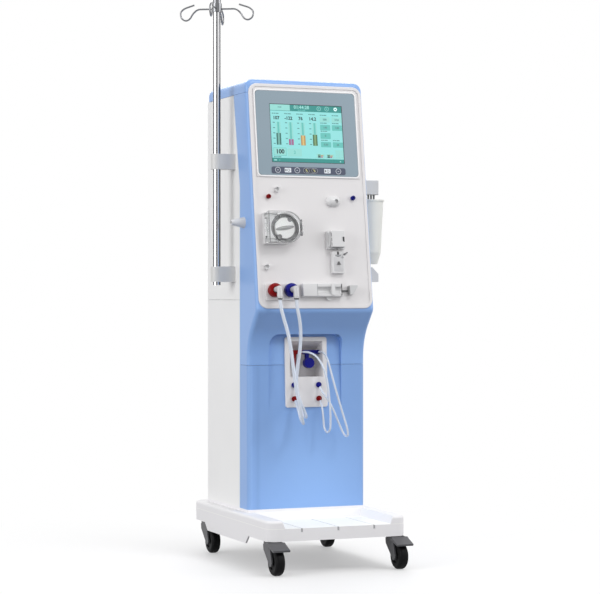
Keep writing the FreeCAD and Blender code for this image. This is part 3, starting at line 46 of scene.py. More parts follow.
# Where the cabinet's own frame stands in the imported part's, and the leaning panel's in it
MM = 0.001
FRAME_X = 0.0218
FRAME_Y = 0.112
FRONT_Y = -0.175
CABINET_HALF_WIDTH = 0.183
PANEL_Y = -0.250
PANEL_FOOT = 0.738
PANEL_LEAN = 8.03
CABINET = Matrix.Translation((FRAME_X, FRAME_Y, 0))
PANEL = (Matrix.Translation((FRAME_X, FRAME_Y + PANEL_Y, PANEL_FOOT))
         @ Matrix.Rotation(math.radians(-PANEL_LEAN), 4, "X"))
CAMERA_TURN = -0.3841

# Places on the panel, in millimetres of its frame
PUMP_X, PUMP_Z = -94, 230
ROLLER_REACH = 30
ROLLER_TURN = 57
PIN_FACE = -17
BEZEL = (-158, 388, 154, 637)
LCD_LEFT, LCD_LOW, LCD_WIDTH, LCD_HEIGHT = -115.5, 426, 228, 173
SCREEN_FACE = 0.2


# Materials

PIN_RADIUS = 0.0058
SOFT_EDGE = 0.0002


def srgb(red, green, blue):
    """Return a linear colour from the 0-255 values that it should show."""
    def linear(part):
        """Undo the display's curve for one part of the colour."""
        part /= 255
        return part / 12.92 if part <= 0.04045 else ((part + 0.055) / 1.055) ** 2.4
    return linear(red), linear(green), linear(blue), 1.0


class Finish:
    """A node material: a shader whose colour, roughness and relief vary over the surface."""

    PLAIN, FULL = 0.35, 0.65

    def __init__(self, name, colour, roughness, metallic=0.0, coat=0.0):
        self.material = bpy.data.materials.new(name)
        self.material.use_nodes = True
        self.nodes = self.material.node_tree.nodes
        self.links = self.material.node_tree.links
        self.shader = self.nodes["Principled BSDF"]
        self.colour = colour
        self.shader.inputs["Base Color"].default_value = colour
        self.shader.inputs["Roughness"].default_value = roughness
        self.shader.inputs["Metallic"].default_value = metallic
        self.shader.inputs["Coat Weight"].default_value = coat
        self.place = self.nodes.new("ShaderNodeTexCoord").outputs["Object"]
        self.normal = None

    def noise(self, scale, detail=2.0, stretch=None):
        """Return a noise value over the surface; stretch scales its axes."""
        texture = self.nodes.new("ShaderNodeTexNoise")
        texture.inputs["Scale"].default_value = scale
        texture.inputs["Detail"].default_value = detail
        place = self.place
        if stretch:
            mapping = self.nodes.new("ShaderNodeMapping")
            mapping.inputs["Scale"].default_value = stretch
            self.links.new(place, mapping.inputs["Vector"])
            place = mapping.outputs["Vector"]
        self.links.new(place, texture.inputs["Vector"])
        return texture.outputs["Fac"]

    def ramp(self, value, low, high, first, last):
        """Map a value's span to another span."""
        node = self.nodes.new("ShaderNodeMapRange")
        node.inputs["From Min"].default_value = low
        node.inputs["From Max"].default_value = high
        node.inputs["To Min"].default_value = first
        node.inputs["To Max"].default_value = last
        self.links.new(value, node.inputs["Value"])
        return node.outputs["Result"]

    def along(self, axis):
        """Return the place along the X, Y or Z axis."""
        split = self.nodes.new("ShaderNodeSeparateXYZ")
        self.links.new(self.place, split.inputs["Vector"])
        return split.outputs[axis]

    def away_from(self, point):
        """Return the distance from a point."""
        away = self.nodes.new("ShaderNodeVectorMath")
        away.operation = "DISTANCE"
        away.inputs[1].default_value = point
        self.links.new(self.place, away.inputs[0])
        return away.outputs["Value"]

    def tint(self, value, other, share):
        """Shift the colour towards another one by up to a share, as a value goes PLAIN to FULL."""
        mix = self.nodes.new("ShaderNodeMix")
        mix.data_type = "RGBA"
        socket = self.shader.inputs["Base Color"]
        if socket.links:
            self.links.new(socket.links[0].from_socket, mix.inputs["A"])
        else:
            mix.inputs["A"].default_value = self.colour
        mix.inputs["B"].default_value = other
        self.links.new(self.ramp(value, self.PLAIN, self.FULL, 0, share), mix.inputs["Factor"])
        self.links.new(mix.outputs["Result"], socket)
        return self

    def patch(self, value, plain, full, other, share=1.0):
        """Lay another colour on where a value is full, and none where it is plain."""
        return self.tint(self.ramp(value, plain, full, self.PLAIN, self.FULL), other, share)

    def polish(self, value, low, high):
        """Vary the roughness between two values."""
        self.links.new(self.ramp(value, 0.3, 0.7, low, high), self.shader.inputs["Roughness"])
        return self

    def relief(self, value, height, distance=0.0005):
        """Raise the surface by a value."""
        bump = self.nodes.new("ShaderNodeBump")
        bump.inputs["Strength"].default_value = height
        bump.inputs["Distance"].default_value = distance
        self.links.new(value, bump.inputs["Height"])
        if self.normal:
            self.links.new(self.normal, bump.inputs["Normal"])
        self.normal = bump.outputs["Normal"]
        self.links.new(self.normal, self.shader.inputs["Normal"])
        return self


def moulded(name, colour, roughness, shade=0.9, grain=0.06, shine=0.5):
    """Injection-moulded plastic: fine grain, faint clouding and slightly uneven gloss."""
    finish = Finish(name, colour, roughness)
    finish.shader.inputs["Specular IOR Level"].default_value = shine
    darker = tuple(part * shade for part in colour[:3]) + (1.0,)
    finish.tint(finish.noise(3.5, 1), darker, 0.5)
    finish.polish(finish.noise(6, 1), roughness - 0.03, roughness + 0.04)
    finish.relief(finish.noise(1400, 2), grain, 0.0002)
    return finish


def enamel(name, colour, roughness=0.42):
    """Powder-coated sheet metal: orange peel and faint clouding."""
    finish = Finish(name, colour, roughness)
    darker = tuple(part * 0.93 for part in colour[:3]) + (1.0,)
    finish.tint(finish.noise(2.2, 3), darker, 0.6)
    finish.polish(finish.noise(14, 3), roughness - 0.05, roughness + 0.07)
    finish.relief(finish.noise(420, 3), 0.12, 0.0003)
    return finish


def polished(name, colour, roughness=0.12, brush=(1, 1, 0.002)):
    """Polished steel with faint drawing lines along its length."""
    finish = Finish(name, colour, roughness, metallic=1.0)
    lines = finish.noise(90, 2, brush)
    finish.tint(lines, tuple(part * 0.85 for part in colour[:3]) + (1.0,), 0.6)
    finish.polish(finish.noise(30, 2), roughness - 0.04, roughness + 0.04)
    finish.relief(lines, 0.01, 0.0001)
    return finish


def clear(name, colour, roughness, share, ior=1.47):
    """Clear or translucent plastic with faint flow marks."""
    finish = Finish(name, colour, roughness)
    finish.shader.inputs["Transmission Weight"].default_value = share
    finish.shader.inputs["IOR"].default_value = ior
    finish.polish(finish.noise(26, 3), roughness, roughness + 0.07)
    finish.relief(finish.noise(60, 2), 0.04, 0.0004)
    return finish


MATERIALS = {
    "blue_shell": moulded("blue_shell", srgb(134, 172, 227), 0.32, shade=0.985, grain=0.04,
                          shine=0.4),
    "white_shell": moulded("white_shell", srgb(223, 221, 222), 0.32, shade=0.98),
    "white_metal": enamel("white_metal", srgb(238, 238, 238)),
    "frame_steel": enamel("frame_steel", srgb(168, 170, 174)),
    "bezel_grey": moulded("bezel_grey", srgb(138, 156, 168), 0.34),
    "screen": moulded("screen", srgb(178, 242, 237), 0.12),
    "key_grey": moulded("key_grey", srgb(82, 88, 106), 0.42, shine=0.25),
    "red_plastic": moulded("red_plastic", srgb(128, 7, 12), 0.3, shine=0.12),
    "dark_blue_plastic": moulded("dark_blue_plastic", srgb(14, 17, 122), 0.3, shine=0.16),
    "instrument_white": moulded("instrument_white", srgb(216, 216, 217), 0.28, shade=0.95),
    "dark_plastic": moulded("dark_plastic", srgb(92, 92, 94), 0.4),
    "clear_plastic": clear("clear_plastic", srgb(252, 253, 253), 0.02, 1.0, 1.3),
    "cup_plastic": clear("cup_plastic", srgb(247, 248, 244), 0.35, 0.3),
    "bracket_grey": enamel("bracket_grey", srgb(212, 212, 211), 0.36),
    "bright_steel": polished("bright_steel", srgb(150, 151, 154)),
    "caster_grey": moulded("caster_grey", srgb(84, 84, 87), 0.42, shine=0.3),
    "tread": moulded("tread", srgb(11, 11, 13), 0.5, grain=0.12, shine=0.1),
    "hose": clear("hose", srgb(230, 237, 248), 0.2, 0.25, 1.41),
    "module": moulded("module", srgb(150, 152, 155), 0.5),
}


def pusher_finish():
    """Light grey pusher on a dark rod."""
    finish = moulded("pusher_and_rod", srgb(70, 71, 74), 0.34)
    rod_end = FRAME_X + 0.100
    return finish.patch(finish.along("X"), rod_end - SOFT_EDGE, rod_end + SOFT_EDGE,
                        srgb(196, 197, 198))


def painted_reflection_steel():
    """Bright tube steel with painted reflections: the long dark and bright bands that a round tube
    mirrors, painted into its colour by which way the surface faces across the camera's view.
    """
    finish = Finish("pole_steel_painted_reflection", srgb(160, 161, 164), 0.16, metallic=1.0)
    # Painted reflection: the colour runs through dark and bright bands as the surface turns across
    # the camera's view.
    across = finish.nodes.new("ShaderNodeVectorMath")
    across.operation = "DOT_PRODUCT"
    across.inputs[1].default_value = (math.cos(CAMERA_TURN), math.sin(CAMERA_TURN), 0)
    normal = finish.nodes.new("ShaderNodeTexCoord").outputs["Normal"]
    finish.links.new(normal, across.inputs[0])
    bands = finish.nodes.new("ShaderNodeValToRGB")
    reflection_stops = ((0.0, 96), (0.19, 112), (0.24, 236), (0.38, 240), (0.43, 160), (0.48, 92),
             (0.60, 70), (0.64, 240), (0.74, 244), (0.79, 104), (1.0, 88))
    while len(bands.color_ramp.elements) < len(reflection_stops):
        bands.color_ramp.elements.new(0.5)
    for element, (place, tone) in zip(bands.color_ramp.elements, reflection_stops):
        element.position = place
        element.color = srgb(tone, tone, tone + 2)
    finish.links.new(finish.ramp(across.outputs["Value"], -1, 1, 0, 1), bands.inputs["Fac"])
    finish.links.new(bands.outputs["Color"], finish.shader.inputs["Base Color"])
    finish.tint(finish.noise(40, 2, (1, 1, 0.02)), srgb(120, 120, 122), 0.08)
    finish.polish(finish.noise(12, 2), 0.14, 0.2)
    return finish


def rotor_finish():
    """White rotor whose roller pins are grey."""
    finish = moulded("rotor", srgb(236, 236, 235), 0.3, shade=0.98)
    turn = math.radians(ROLLER_TURN)
    for reach in (-ROLLER_REACH, ROLLER_REACH):
        pin = PANEL @ (Vector((PUMP_X + reach * math.cos(turn), PIN_FACE,
                               PUMP_Z + reach * math.sin(turn))) * MM)
        finish.patch(finish.away_from(pin), PIN_RADIUS + SOFT_EDGE, PIN_RADIUS - SOFT_EDGE,
                     srgb(128, 128, 130))
    return finish


def between_heights(finish, low, high, other):
    """Give a finish another colour between two heights."""
    height = finish.along("Z")
    both = finish.nodes.new("ShaderNodeMath")
    both.operation = "MULTIPLY"
    finish.links.new(finish.ramp(height, low - SOFT_EDGE, low, 0, 1), both.inputs[0])
    finish.links.new(finish.ramp(height, high, high + SOFT_EDGE, 1, 0), both.inputs[1])
    return finish.patch(both.outputs[0], 0, 1, other)


def painted_light_cover():
    """Blue cover with a painted highlight on its face, and a painted lit band and a painted shaded
    band at its rounded left edge.
    """
    finish = moulded("cover_blue_painted_light", srgb(131, 168, 222), 0.32, shade=0.985, grain=0.04, shine=0.4)
    # Painted highlight: a lighter blue pool in the middle of the cover's face.
    painted_highlight_middle = (FRAME_X + 0.02, FRAME_Y + FRONT_Y, 0.27)
    finish.patch(finish.away_from(painted_highlight_middle), 0.25, 0.04, srgb(150, 190, 246), 0.5)
    # Painted highlight along the rounded left edge, then painted shade in the crease just inside it.
    for inset, half, tone, share in ((0.010, 0.007, (148, 186, 240), 0.5),
                                     (0.030, 0.010, (116, 150, 204), 0.35)):
        span = finish.nodes.new("ShaderNodeVectorMath")
        span.operation = "MULTIPLY_ADD"
        span.inputs[1].default_value = (1, 0, 0)
        span.inputs[2].default_value = (CABINET_HALF_WIDTH - inset - FRAME_X, 0, 0)
        finish.links.new(finish.place, span.inputs[0])
        reach = finish.nodes.new("ShaderNodeVectorMath")
        reach.operation = "LENGTH"
        finish.links.new(span.outputs["Vector"], reach.inputs[0])
        finish.patch(reach.outputs["Value"], half, 0, srgb(*tone), share)
    return finish


def base_finish(name):
    """Dull white of the base."""
    return moulded(name, srgb(236, 235, 237), 0.46, shade=0.98, shine=0.1)


# Finishes of single sub-parts, in place of their slot's
SPECIAL = {
    "iv_pole": painted_reflection_steel(),
    "hook_head": polished("hook_steel", srgb(124, 125, 128), 0.2),
    "pump_roller_left": moulded("roller_left", srgb(138, 138, 140), 0.4),
    "pump_roller_right": moulded("roller_right", srgb(138, 138, 140), 0.4),
    # Painted light: the tray's floor, at 128 mm, is painted a brighter white than the rest of the
    # base to look lit.
    "base_tray": between_heights(base_finish("base_and_painted_lit_tray"), 0.1277, 0.1283,
                                 srgb(255, 255, 250)),
    "lower_front_cover": painted_light_cover(),
    "coupler_elbows": moulded("elbow_white", srgb(202, 202, 204), 0.3, shade=0.96),
    "syringe_pusher": pusher_finish(),
    "cup_brackets": between_heights(enamel("cup_bracket", srgb(214, 214, 214), 0.36), 0.9,
                                    1.0765, srgb(128, 129, 132)),
    "pump_raceway": moulded("raceway", srgb(184, 184, 186), 0.42),
    "pump_rotor": rotor_finish(),
    "pump_grip": moulded("grip", srgb(166, 166, 167), 0.32),
}
for item in frame["record"]["subparts"]:
    mesh = NODES[item["node"]].data
    mesh.materials.clear()
    finish = SPECIAL.get(item["node"], MATERIALS[item["material_slot"]])
    mesh.materials.append(finish.material)


# Mesh pieces, drawn in millimetres of the cabinet's or the leaning panel's frame

def rounded(left, low, right, high, radius, steps=6):
    """Return a rectangle with rounded corners as (x, z) points."""
    corners = ((right - radius, high - radius, 0), (left + radius, high - radius, 90),
               (left + radius, low + radius, 180), (right - radius, low + radius, 270))
    points = []
    for x, z, start in corners:
        for step in range(steps + 1):
            angle = math.radians(start + 90 * step / steps)
            points.append((x + radius * math.cos(angle), z + radius * math.sin(angle)))
    return points


def circle(x, z, radius, steps=32, squash=1.0):
    """Return a circle or ellipse as (x, z) points."""
    return [(x + radius * math.cos(2 * math.pi * step / steps),
             z + radius * squash * math.sin(2 * math.pi * step / steps)) for step in range(steps)]


SHARP_ANGLE = 35


class Drawing:
    """One piece made of several closed meshes, each with its own finish; -y is outwards."""

    def __init__(self, name, place=PANEL):
        self.name = name
        self.place = place
        self.mesh = bmesh.new()
        self.finishes = []

    def slot(self, finish):
        """Return the number of a finish among the piece's own."""
        if finish not in self.finishes:
            self.finishes.append(finish)
        return self.finishes.index(finish)

    def prism(self, outline, near, far, finish, bevel=0.0):
        """Add a slab with an (x, z) outline, from y = near, its front, to y = far."""
        front = [self.mesh.verts.new((x, near, z)) for x, z in outline]
        back = [self.mesh.verts.new((x, far, z)) for x, z in outline]
        faces = [self.mesh.faces.new(front), self.mesh.faces.new(back[::-1])]
        count = len(outline)
        for index in range(count):
            other = (index + 1) % count
            faces.append(self.mesh.faces.new((front[other], front[index], back[index],
                                              back[other])))
        number = self.slot(finish)
        for face in faces:
            face.material_index = number
        if bevel:
            rim = list(faces[0].edges)
            made = bmesh.ops.bevel(self.mesh, geom=rim, offset=bevel, segments=3,
                                   profile=0.5, affect="EDGES", clamp_overlap=True)
            for face in made["faces"]:
                face.material_index = number
        return self

    def ring(self, x, z, outer, inner, near, far, finish, steps=40):
        """Add a flat ring round (x, z)."""
        return self.border(circle(x, z, outer, steps), circle(x, z, inner, steps), near, far,
                           finish)

    def border(self, outer, inner, near, far, finish):
        """Add a raised border between two (x, z) outlines that have as many points."""
        number = self.slot(finish)
        loops = []
        for outline, depth in ((outer, far), (outer, near), (inner, near), (inner, far)):
            loops.append([self.mesh.verts.new((x, depth, z)) for x, z in outline])
        for index in range(4):
            first, last = loops[index], loops[(index + 1) % 4]
            for step in range(len(first)):
                other = (step + 1) % len(first)
                face = self.mesh.faces.new((first[step], first[other], last[other], last[step]))
                face.material_index = number
        return self

    def lathe(self, profile, centre, finish, axis="y", steps=48, closed=False):
        """Turn (radius, height) points about an axis; heights run towards -y, or up for z."""
        number = self.slot(finish)
        loops = []
        for radius, height in profile:
            loop = []
            for step in range(steps if radius > 1e-6 else 1):
                angle = 2 * math.pi * step / steps
                across, up = radius * math.cos(angle), radius * math.sin(angle)
                if axis == "y":
                    offset = Vector((across, -height, up))
                else:
                    offset = Vector((across, up, height))
                loop.append(self.mesh.verts.new(Vector(centre) + offset))
            loops.append(loop)
        pairs = list(zip(loops, loops[1:]))
        if closed:
            pairs.append((loops[-1], loops[0]))
        for first, last in pairs:
            for step in range(steps):
                other = (step + 1) % steps
                corners = [first[step % len(first)], first[other % len(first)],
                           last[other % len(last)], last[step % len(last)]]
                unique = list(dict.fromkeys(corners))
                if len(unique) > 2:
                    self.mesh.faces.new(unique).material_index = number
        return self

    def figures(self, words, x, z, height, near, finish, thick):
        """Add figures centred on (x, z), standing out to y = near."""
        curve = bpy.data.curves.new("figures", "FONT")
        curve.body = words
        curve.size = height * 1.4
        curve.align_x = "CENTER"
        curve.align_y = "CENTER"
        curve.extrude = thick
        curve.offset = height * 0.045
        curve.resolution_u = 3
        item = bpy.data.objects.new("figures", curve)
        bpy.context.collection.objects.link(item)
        bpy.context.view_layer.update()
        shape = bpy.data.meshes.new_from_object(item.evaluated_get(
            bpy.context.evaluated_depsgraph_get()))
        shape.transform(Matrix.Translation((x, near, z)) @ Matrix.Rotation(math.pi / 2, 4, "X"))
        number = self.slot(finish)
        before = len(self.mesh.faces)
        self.mesh.from_mesh(shape)
        self.mesh.faces.ensure_lookup_table()
        for face in self.mesh.faces[before:]:
            face.material_index = number
        bpy.data.objects.remove(item)
        bpy.data.curves.remove(curve)
        bpy.data.meshes.remove(shape)
        return self

    def done(self, body="root"):
        """Make the piece, and let it ride on a body."""
        bmesh.ops.recalc_face_normals(self.mesh, faces=self.mesh.faces)
        data = bpy.data.meshes.new(self.name)
        self.mesh.to_mesh(data)
        self.mesh.free()
        data.transform(self.place @ Matrix.Scale(MM, 4))
        for finish in self.finishes:
            data.materials.append(finish.material)
        data.shade_smooth()
        data.set_sharp_from_angle(angle=math.radians(SHARP_ANGLE))
        piece = bpy.data.objects.new(self.name, data)
        bpy.context.collection.objects.link(piece)
        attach(piece, body)


# Screen

LAYER = 0.1
SHEET = 0.09


def lit(name, colour, strength=0.3):
    """A colour shown on the screen: glass with a faint glow and a fine grid of dots."""
    finish = Finish(name, colour, 0.18, coat=0.3)
    finish.shader.inputs["Emission Color"].default_value = colour
    finish.shader.inputs["Emission Strength"].default_value = strength
    darker = tuple(part * 0.9 for part in colour[:3]) + (1.0,)
    finish.tint(finish.noise(2600, 1), darker, 0.5)
    finish.polish(finish.noise(12, 2), 0.14, 0.22)
    return finish


MINT = lit("screen_mint", srgb(140, 215, 213), 0.16)
TEAL = lit("screen_teal", srgb(44, 136, 130), 0.18)
PALE = lit("screen_pale", srgb(140, 206, 199), 0.2)
SOFT = lit("screen_soft", srgb(96, 182, 174), 0.2)
INK = lit("screen_ink", srgb(20, 44, 48), 0.02)
GLOW = lit("screen_white", srgb(225, 250, 248))
NOTE = lit("screen_note", srgb(84, 138, 136), 0.1)
GAUGES = ((lit("gauge_green", srgb(48, 106, 98), 0.1), lit("gauge_green_light", srgb(104, 160, 150))),
          (lit("gauge_plum", srgb(168, 62, 122), 0.1), lit("gauge_plum_light", srgb(138, 134, 158))),
          (lit("gauge_amber", srgb(186, 138, 74), 0.1), lit("gauge_sand", srgb(196, 174, 116))),
          (lit("gauge_olive", srgb(74, 110, 72), 0.1), lit("gauge_moss", srgb(112, 146, 104))))


def screen_display():
    """Generic read-outs, gauges and buttons, placed by shares of the screen from its top left."""
    drawing = Drawing("screen_display")

    def spot(across, down):
        """Return the (x, z) place of a spot on the screen."""
        return LCD_LEFT + across * LCD_WIDTH, LCD_LOW + (1 - down) * LCD_HEIGHT

    def block(left, top, right, bottom, layer, finish, radius=0.0):
        """Lay a rectangle on the screen; higher layers lie on lower ones."""
        x0, z1 = spot(left, top)
        x1, z0 = spot(right, bottom)
        outline = rounded(x0, z0, x1, z1, radius, 4) if radius else [(x1, z1), (x0, z1),
                                                                    (x0, z0), (x1, z0)]
        near = SCREEN_FACE - LAYER * layer
        drawing.prism(outline, near, near + SHEET, finish)

    def words(text, across, down, height, layer, finish):
        """Write figures round a spot."""
        x, z = spot(across, down)
        drawing.figures(text, x, z, height, SCREEN_FACE - LAYER * layer, finish, SHEET / 3)

    def note(across, down, width, layer=2, finish=NOTE):
        """Lay a line of small print, too fine to be read."""
        left = across - width / 2
        for share, part in ((0.0, 0.24), (0.3, 0.2), (0.56, 0.44)):
            block(left + share * width, down - 0.007, left + (share + part) * width, down + 0.007,
                  layer, finish)

    block(0.002, 0.003, 0.998, 0.997, 1, MINT)
    block(0.002, 0.003, 0.998, 0.118, 2, TEAL)
    block(0.002, 0.006, 0.28, 0.112, 3, PALE)
    note(0.14, 0.055, 0.05, 4)
    words("01:44:28", 0.44, 0.05, 10.0, 4, PALE)
    note(0.44, 0.1, 0.1, 4, SOFT)
    block(0.002, 0.925, 0.998, 0.997, 2, TEAL)
    for across in (0.68, 0.79):
        x, z = spot(across, 0.06)
        drawing.ring(x, z, 6.6, 5.2, SCREEN_FACE - 0.35, SCREEN_FACE - 0.2, PALE)
        drawing.prism(circle(x, z, 2.0, 16, 1.3), SCREEN_FACE - 0.35, SCREEN_FACE - 0.2, SOFT)
    x, z = spot(0.91, 0.06)
    drawing.ring(x, z, 4.8, 2.4, SCREEN_FACE - 0.35, SCREEN_FACE - 0.2, GLOW)
    for turn in range(8):
        angle = math.radians(45 * turn)
        drawing.prism(circle(x + 4.9 * math.cos(angle), z + 4.9 * math.sin(angle), 1.1, 8),
                      SCREEN_FACE - 0.34, SCREEN_FACE - 0.2, GLOW)
    gauges = ((0.107, "107", 0.50), (0.275, "-122", 0.60), (0.44, "76", 0.53),
              (0.605, "14.2", 0.51))
    for (across, reading, level), (fill, middle) in zip(gauges, GAUGES):
        note(across - 0.03, 0.165, 0.09)
        words(reading, across - 0.02, 0.243, 9.6, 2, INK)
        block(across - 0.028, 0.31, across + 0.034, 0.70, 2, PALE)
        block(across - 0.01, 0.31, across + 0.016, 0.70, 3, SOFT)
        block(across - 0.028, level, across + 0.034, 0.70, 4, fill)
        block(across - 0.01, level, across + 0.016, 0.70, 5, middle)
        for step in range(5):
            down = 0.32 + 0.09 * step
            block(across - 0.07, down - 0.006, across - 0.042, down + 0.008, 2, NOTE)
    for left, top, right, bottom, finish, reading in (
            (0.685, 0.20, 0.825, 0.29, PALE, "500"), (0.85, 0.20, 0.99, 0.29, PALE, "37.0"),
            (0.685, 0.335, 0.825, 0.43, SOFT, "140"), (0.85, 0.335, 0.99, 0.43, SOFT, "1.80"),
            (0.685, 0.475, 0.825, 0.575, SOFT, "0"), (0.685, 0.63, 0.825, 0.72, SOFT, "0.50"),
            (0.85, 0.63, 0.99, 0.72, SOFT, "36")):
        note((left + right) / 2 - 0.02, top - 0.03, 0.09)
        block(left, top, right, bottom, 2, finish, 1.5)
        words(reading, (left + right) / 2, (top + bottom) / 2, 5.6, 3, NOTE)
    block(0.03, 0.75, 0.205, 0.885, 2, SOFT)
    block(0.035, 0.757, 0.2, 0.878, 3, PALE)
    words("100", 0.118, 0.818, 12.6, 4, INK)
    block(0.22, 0.76, 0.415, 0.89, 2, PALE, 1.0)
    words("2", 0.318, 0.825, 9.0, 3, SOFT)
    for left in (0.615, 0.745):
        block(left, 0.835, left + 0.115, 0.912, 2, PALE, 1.0)
        block(left + 0.02, 0.85, left + 0.055, 0.868, 3, GAUGES[3][0])
        block(left + 0.02, 0.876, left + 0.055, 0.9, 3, INK)
        block(left + 0.06, 0.86, left + 0.095, 0.876, 3, GAUGES[2][0])
        block(left + 0.06, 0.882, left + 0.085, 0.9, 3, GAUGES[1][0])
    for row in range(3):
        for column in range(3):
            left, top = 0.88 + 0.038 * column, 0.765 + 0.052 * row
            block(left, top, left + 0.034, top + 0.046, 2, PALE, 0.8)
    note(0.08, 0.908, 0.1)
    block(0.03, 0.95, 0.07, 0.972, 3, PALE, 0.8)
    block(0.10, 0.95, 0.112, 0.972, 3, SOFT, 0.8)
    block(0.935, 0.952, 0.95, 0.972, 3, PALE, 0.8)
    drawing.done()


screen_display()


def key_legends():
    """Rings, patches and signs on the key strip."""
    drawing = Drawing("key_legends")
    face, row, middle = -1.8, 403, 1.8
    line = moulded("key_line", srgb(214, 220, 228), 0.35)
    dim = moulded("key_dim", srgb(178, 184, 194), 0.35)
    patch = moulded("key_patch", srgb(226, 232, 238), 0.35)
    dark = moulded("key_dark", srgb(46, 50, 62), 0.4)
    sign = moulded("key_sign", srgb(222, 216, 142), 0.35)

    def bar(x, half_width, half_height, corner, steps=3):
        """Return a rounded bar's outline, centred on the row."""
        return rounded(x - half_width, row - half_height, x + half_width, row + half_height,
                       corner, steps)

    for x in (-99.5, -39.5, 89.9):
        drawing.ring(x, row, 8.5, 7.1, face - 1.05, face - 0.7, line)
        drawing.prism(circle(x, row, 7.0), face - 0.95, face - 0.7, MATERIALS["key_grey"])
        drawing.prism(bar(x, 2.6, 0.7, 0.5), face - 1.1, face - 0.9, line)
    for x in (-68, 55.5):
        drawing.prism(bar(x, 10, 6.6, 1.2), face - 0.15, face + 0.1, patch)
        drawing.ring(x + 2, row, 4.0, 3.0, face - 0.3, face - 0.1, dark)
        drawing.prism(bar(x - 6.5, 1.5, 3, 0.8), face - 0.3, face - 0.1, dark)
    drawing.prism(bar(middle, 22.5, 8, 7.9, 6), face - 1.0, face - 0.1, dark)
    drawing.border(bar(middle, 22.5, 8, 7.9, 6), bar(middle, 21.6, 7.1, 7.0, 6),
                   face - 1.1, face - 0.9, dim)
    for shift in (-12.0, 12.0):
        x = middle + shift
        drawing.ring(x - shift * 0.2, row, 6.4, 5.7, face - 1.1, face - 0.9, dim)
        stroke = [(x + 1.4, row - 3.8), (x + 3.4, row - 3.4),
                  (x - 0.8, row + 3.8), (x - 3.2, row + 3.4)]
        drawing.prism(stroke, face - 1.15, face - 0.95, sign)
    drawing.done()


key_legends()


# Small fittings, with painted shade and shadow lines

# Dark and grey trim; both are also used for painted shade and shadow lines.
DARK = moulded("dark_trim_and_painted_shade", srgb(46, 47, 50), 0.36)
SHADOW_GREY = moulded("grey_trim_and_painted_shade", srgb(150, 152, 155), 0.34)
CLAMP_FACE = moulded("clamp_face", srgb(198, 198, 200), 0.34)
LATCH_GREY = moulded("latch_grey", srgb(104, 104, 107), 0.36)
HINGE_GREY = moulded("hinge_grey", srgb(120, 120, 123), 0.4)
EDGE_GREY = moulded("edge_grey", srgb(132, 132, 134), 0.3)
# Grey for the painted shade in the tray lip's notches.
NOTCH_SHADE = moulded("notch_shade", srgb(176, 176, 179), 0.4)
BASE_WHITE = base_finish("base_white")
SCREW = polished("screw_steel", srgb(176, 178, 182), 0.25, (1, 1, 1))


def screen_recess_shade():
    """Thin dark seal between the bezel and the screen, which also serves as the painted shade of the
    screen's recess.
    """
    drawing = Drawing("screen_recess_shade")
    left, low = LCD_LEFT, LCD_LOW
    right, high = left + LCD_WIDTH, low + LCD_HEIGHT
    wide, near, far = 1.5, -0.6, 0.15
    for box in ((left, low, left + wide, high), (right - wide, low, right, high),
                (left, low, right, low + wide), (left, high - wide, right, high)):
        x0, z0, x1, z1 = box
        drawing.prism([(x1, z1), (x0, z1), (x0, z0), (x1, z0)], near, far, DARK)
    drawing.done()


def monitor_bead():
    """White bead that frames the bezel."""
    drawing = Drawing("monitor_bead")
    left, low, right, high = BEZEL
    bead = moulded("bead_white", srgb(246, 246, 247), 0.3, shade=0.99)
    near, far = -1.3, 0.6
    outer, inner = (rounded(left - gap, low - gap, right + gap, high + gap, corner, 8)
                    for gap, corner in ((4.4, 15), (1.2, 12)))
    drawing.border(outer, inner, near, far, bead)
    drawing.done()


def raceway_marks():
    """Pressed ribs on the pump's track and the raceway's dark rim."""
    drawing = Drawing("raceway_marks")
    rib = moulded("track_rib", srgb(214, 214, 215), 0.4)
    rim = moulded("track_rim", srgb(104, 104, 106), 0.4)
    drawing.ring(PUMP_X, PUMP_Z, 42.3, 40.4, -20.25, -19.8, rim, 64)
    near, far, half = 31.4, 39.4, 0.8
    for turn in (76, 102, 258, 284):
        angle = math.radians(turn)
        across, up = math.cos(angle), math.sin(angle)
        outline = [(PUMP_X + reach * across + side * up, PUMP_Z + reach * up - side * across)
                   for reach, side in ((far, half), (far, -half), (near, -half), (near, half))]
        drawing.prism(outline, -7.2, -5.4, rib, 0.2)
    drawing.done()


def elbow_rings():
    """Dark seals where the hoses leave the elbows."""
    drawing = Drawing("elbow_rings", CABINET)
    hose_y, seal_z = -291.4, 766.0
    seal = [(5.2, -2.2), (6.9, -2.2), (7.1, -1.4), (7.1, 0.8), (6.9, 1.6), (5.2, 1.6)]
    for x in (-130, -80):
        drawing.lathe(seal, (x, hose_y, seal_z), DARK, axis="z", closed=True)
    drawing.done()


def detector_trim():
    """Latch, hinge leaves and shadow line of the air detector's door."""
    drawing = Drawing("detector_trim")
    latch = rounded(84.0, 191, 87.2, 206, 1.2, 3)
    drawing.prism(latch, -26.0, -21.5, DARK, 0.5)
    for low in (179.0, 192.5, 206.5):
        leaf = rounded(47.5, low, 48.6, low + 10, 0.4, 2)
        drawing.prism(leaf, -24.6, -22.8, HINGE_GREY)
    shadow = rounded(50, 175.2, 87, 176.1, 0.3, 2)
    drawing.prism(shadow, -22.0, -10.6, SHADOW_GREY)
    drawing.done("detector_door")


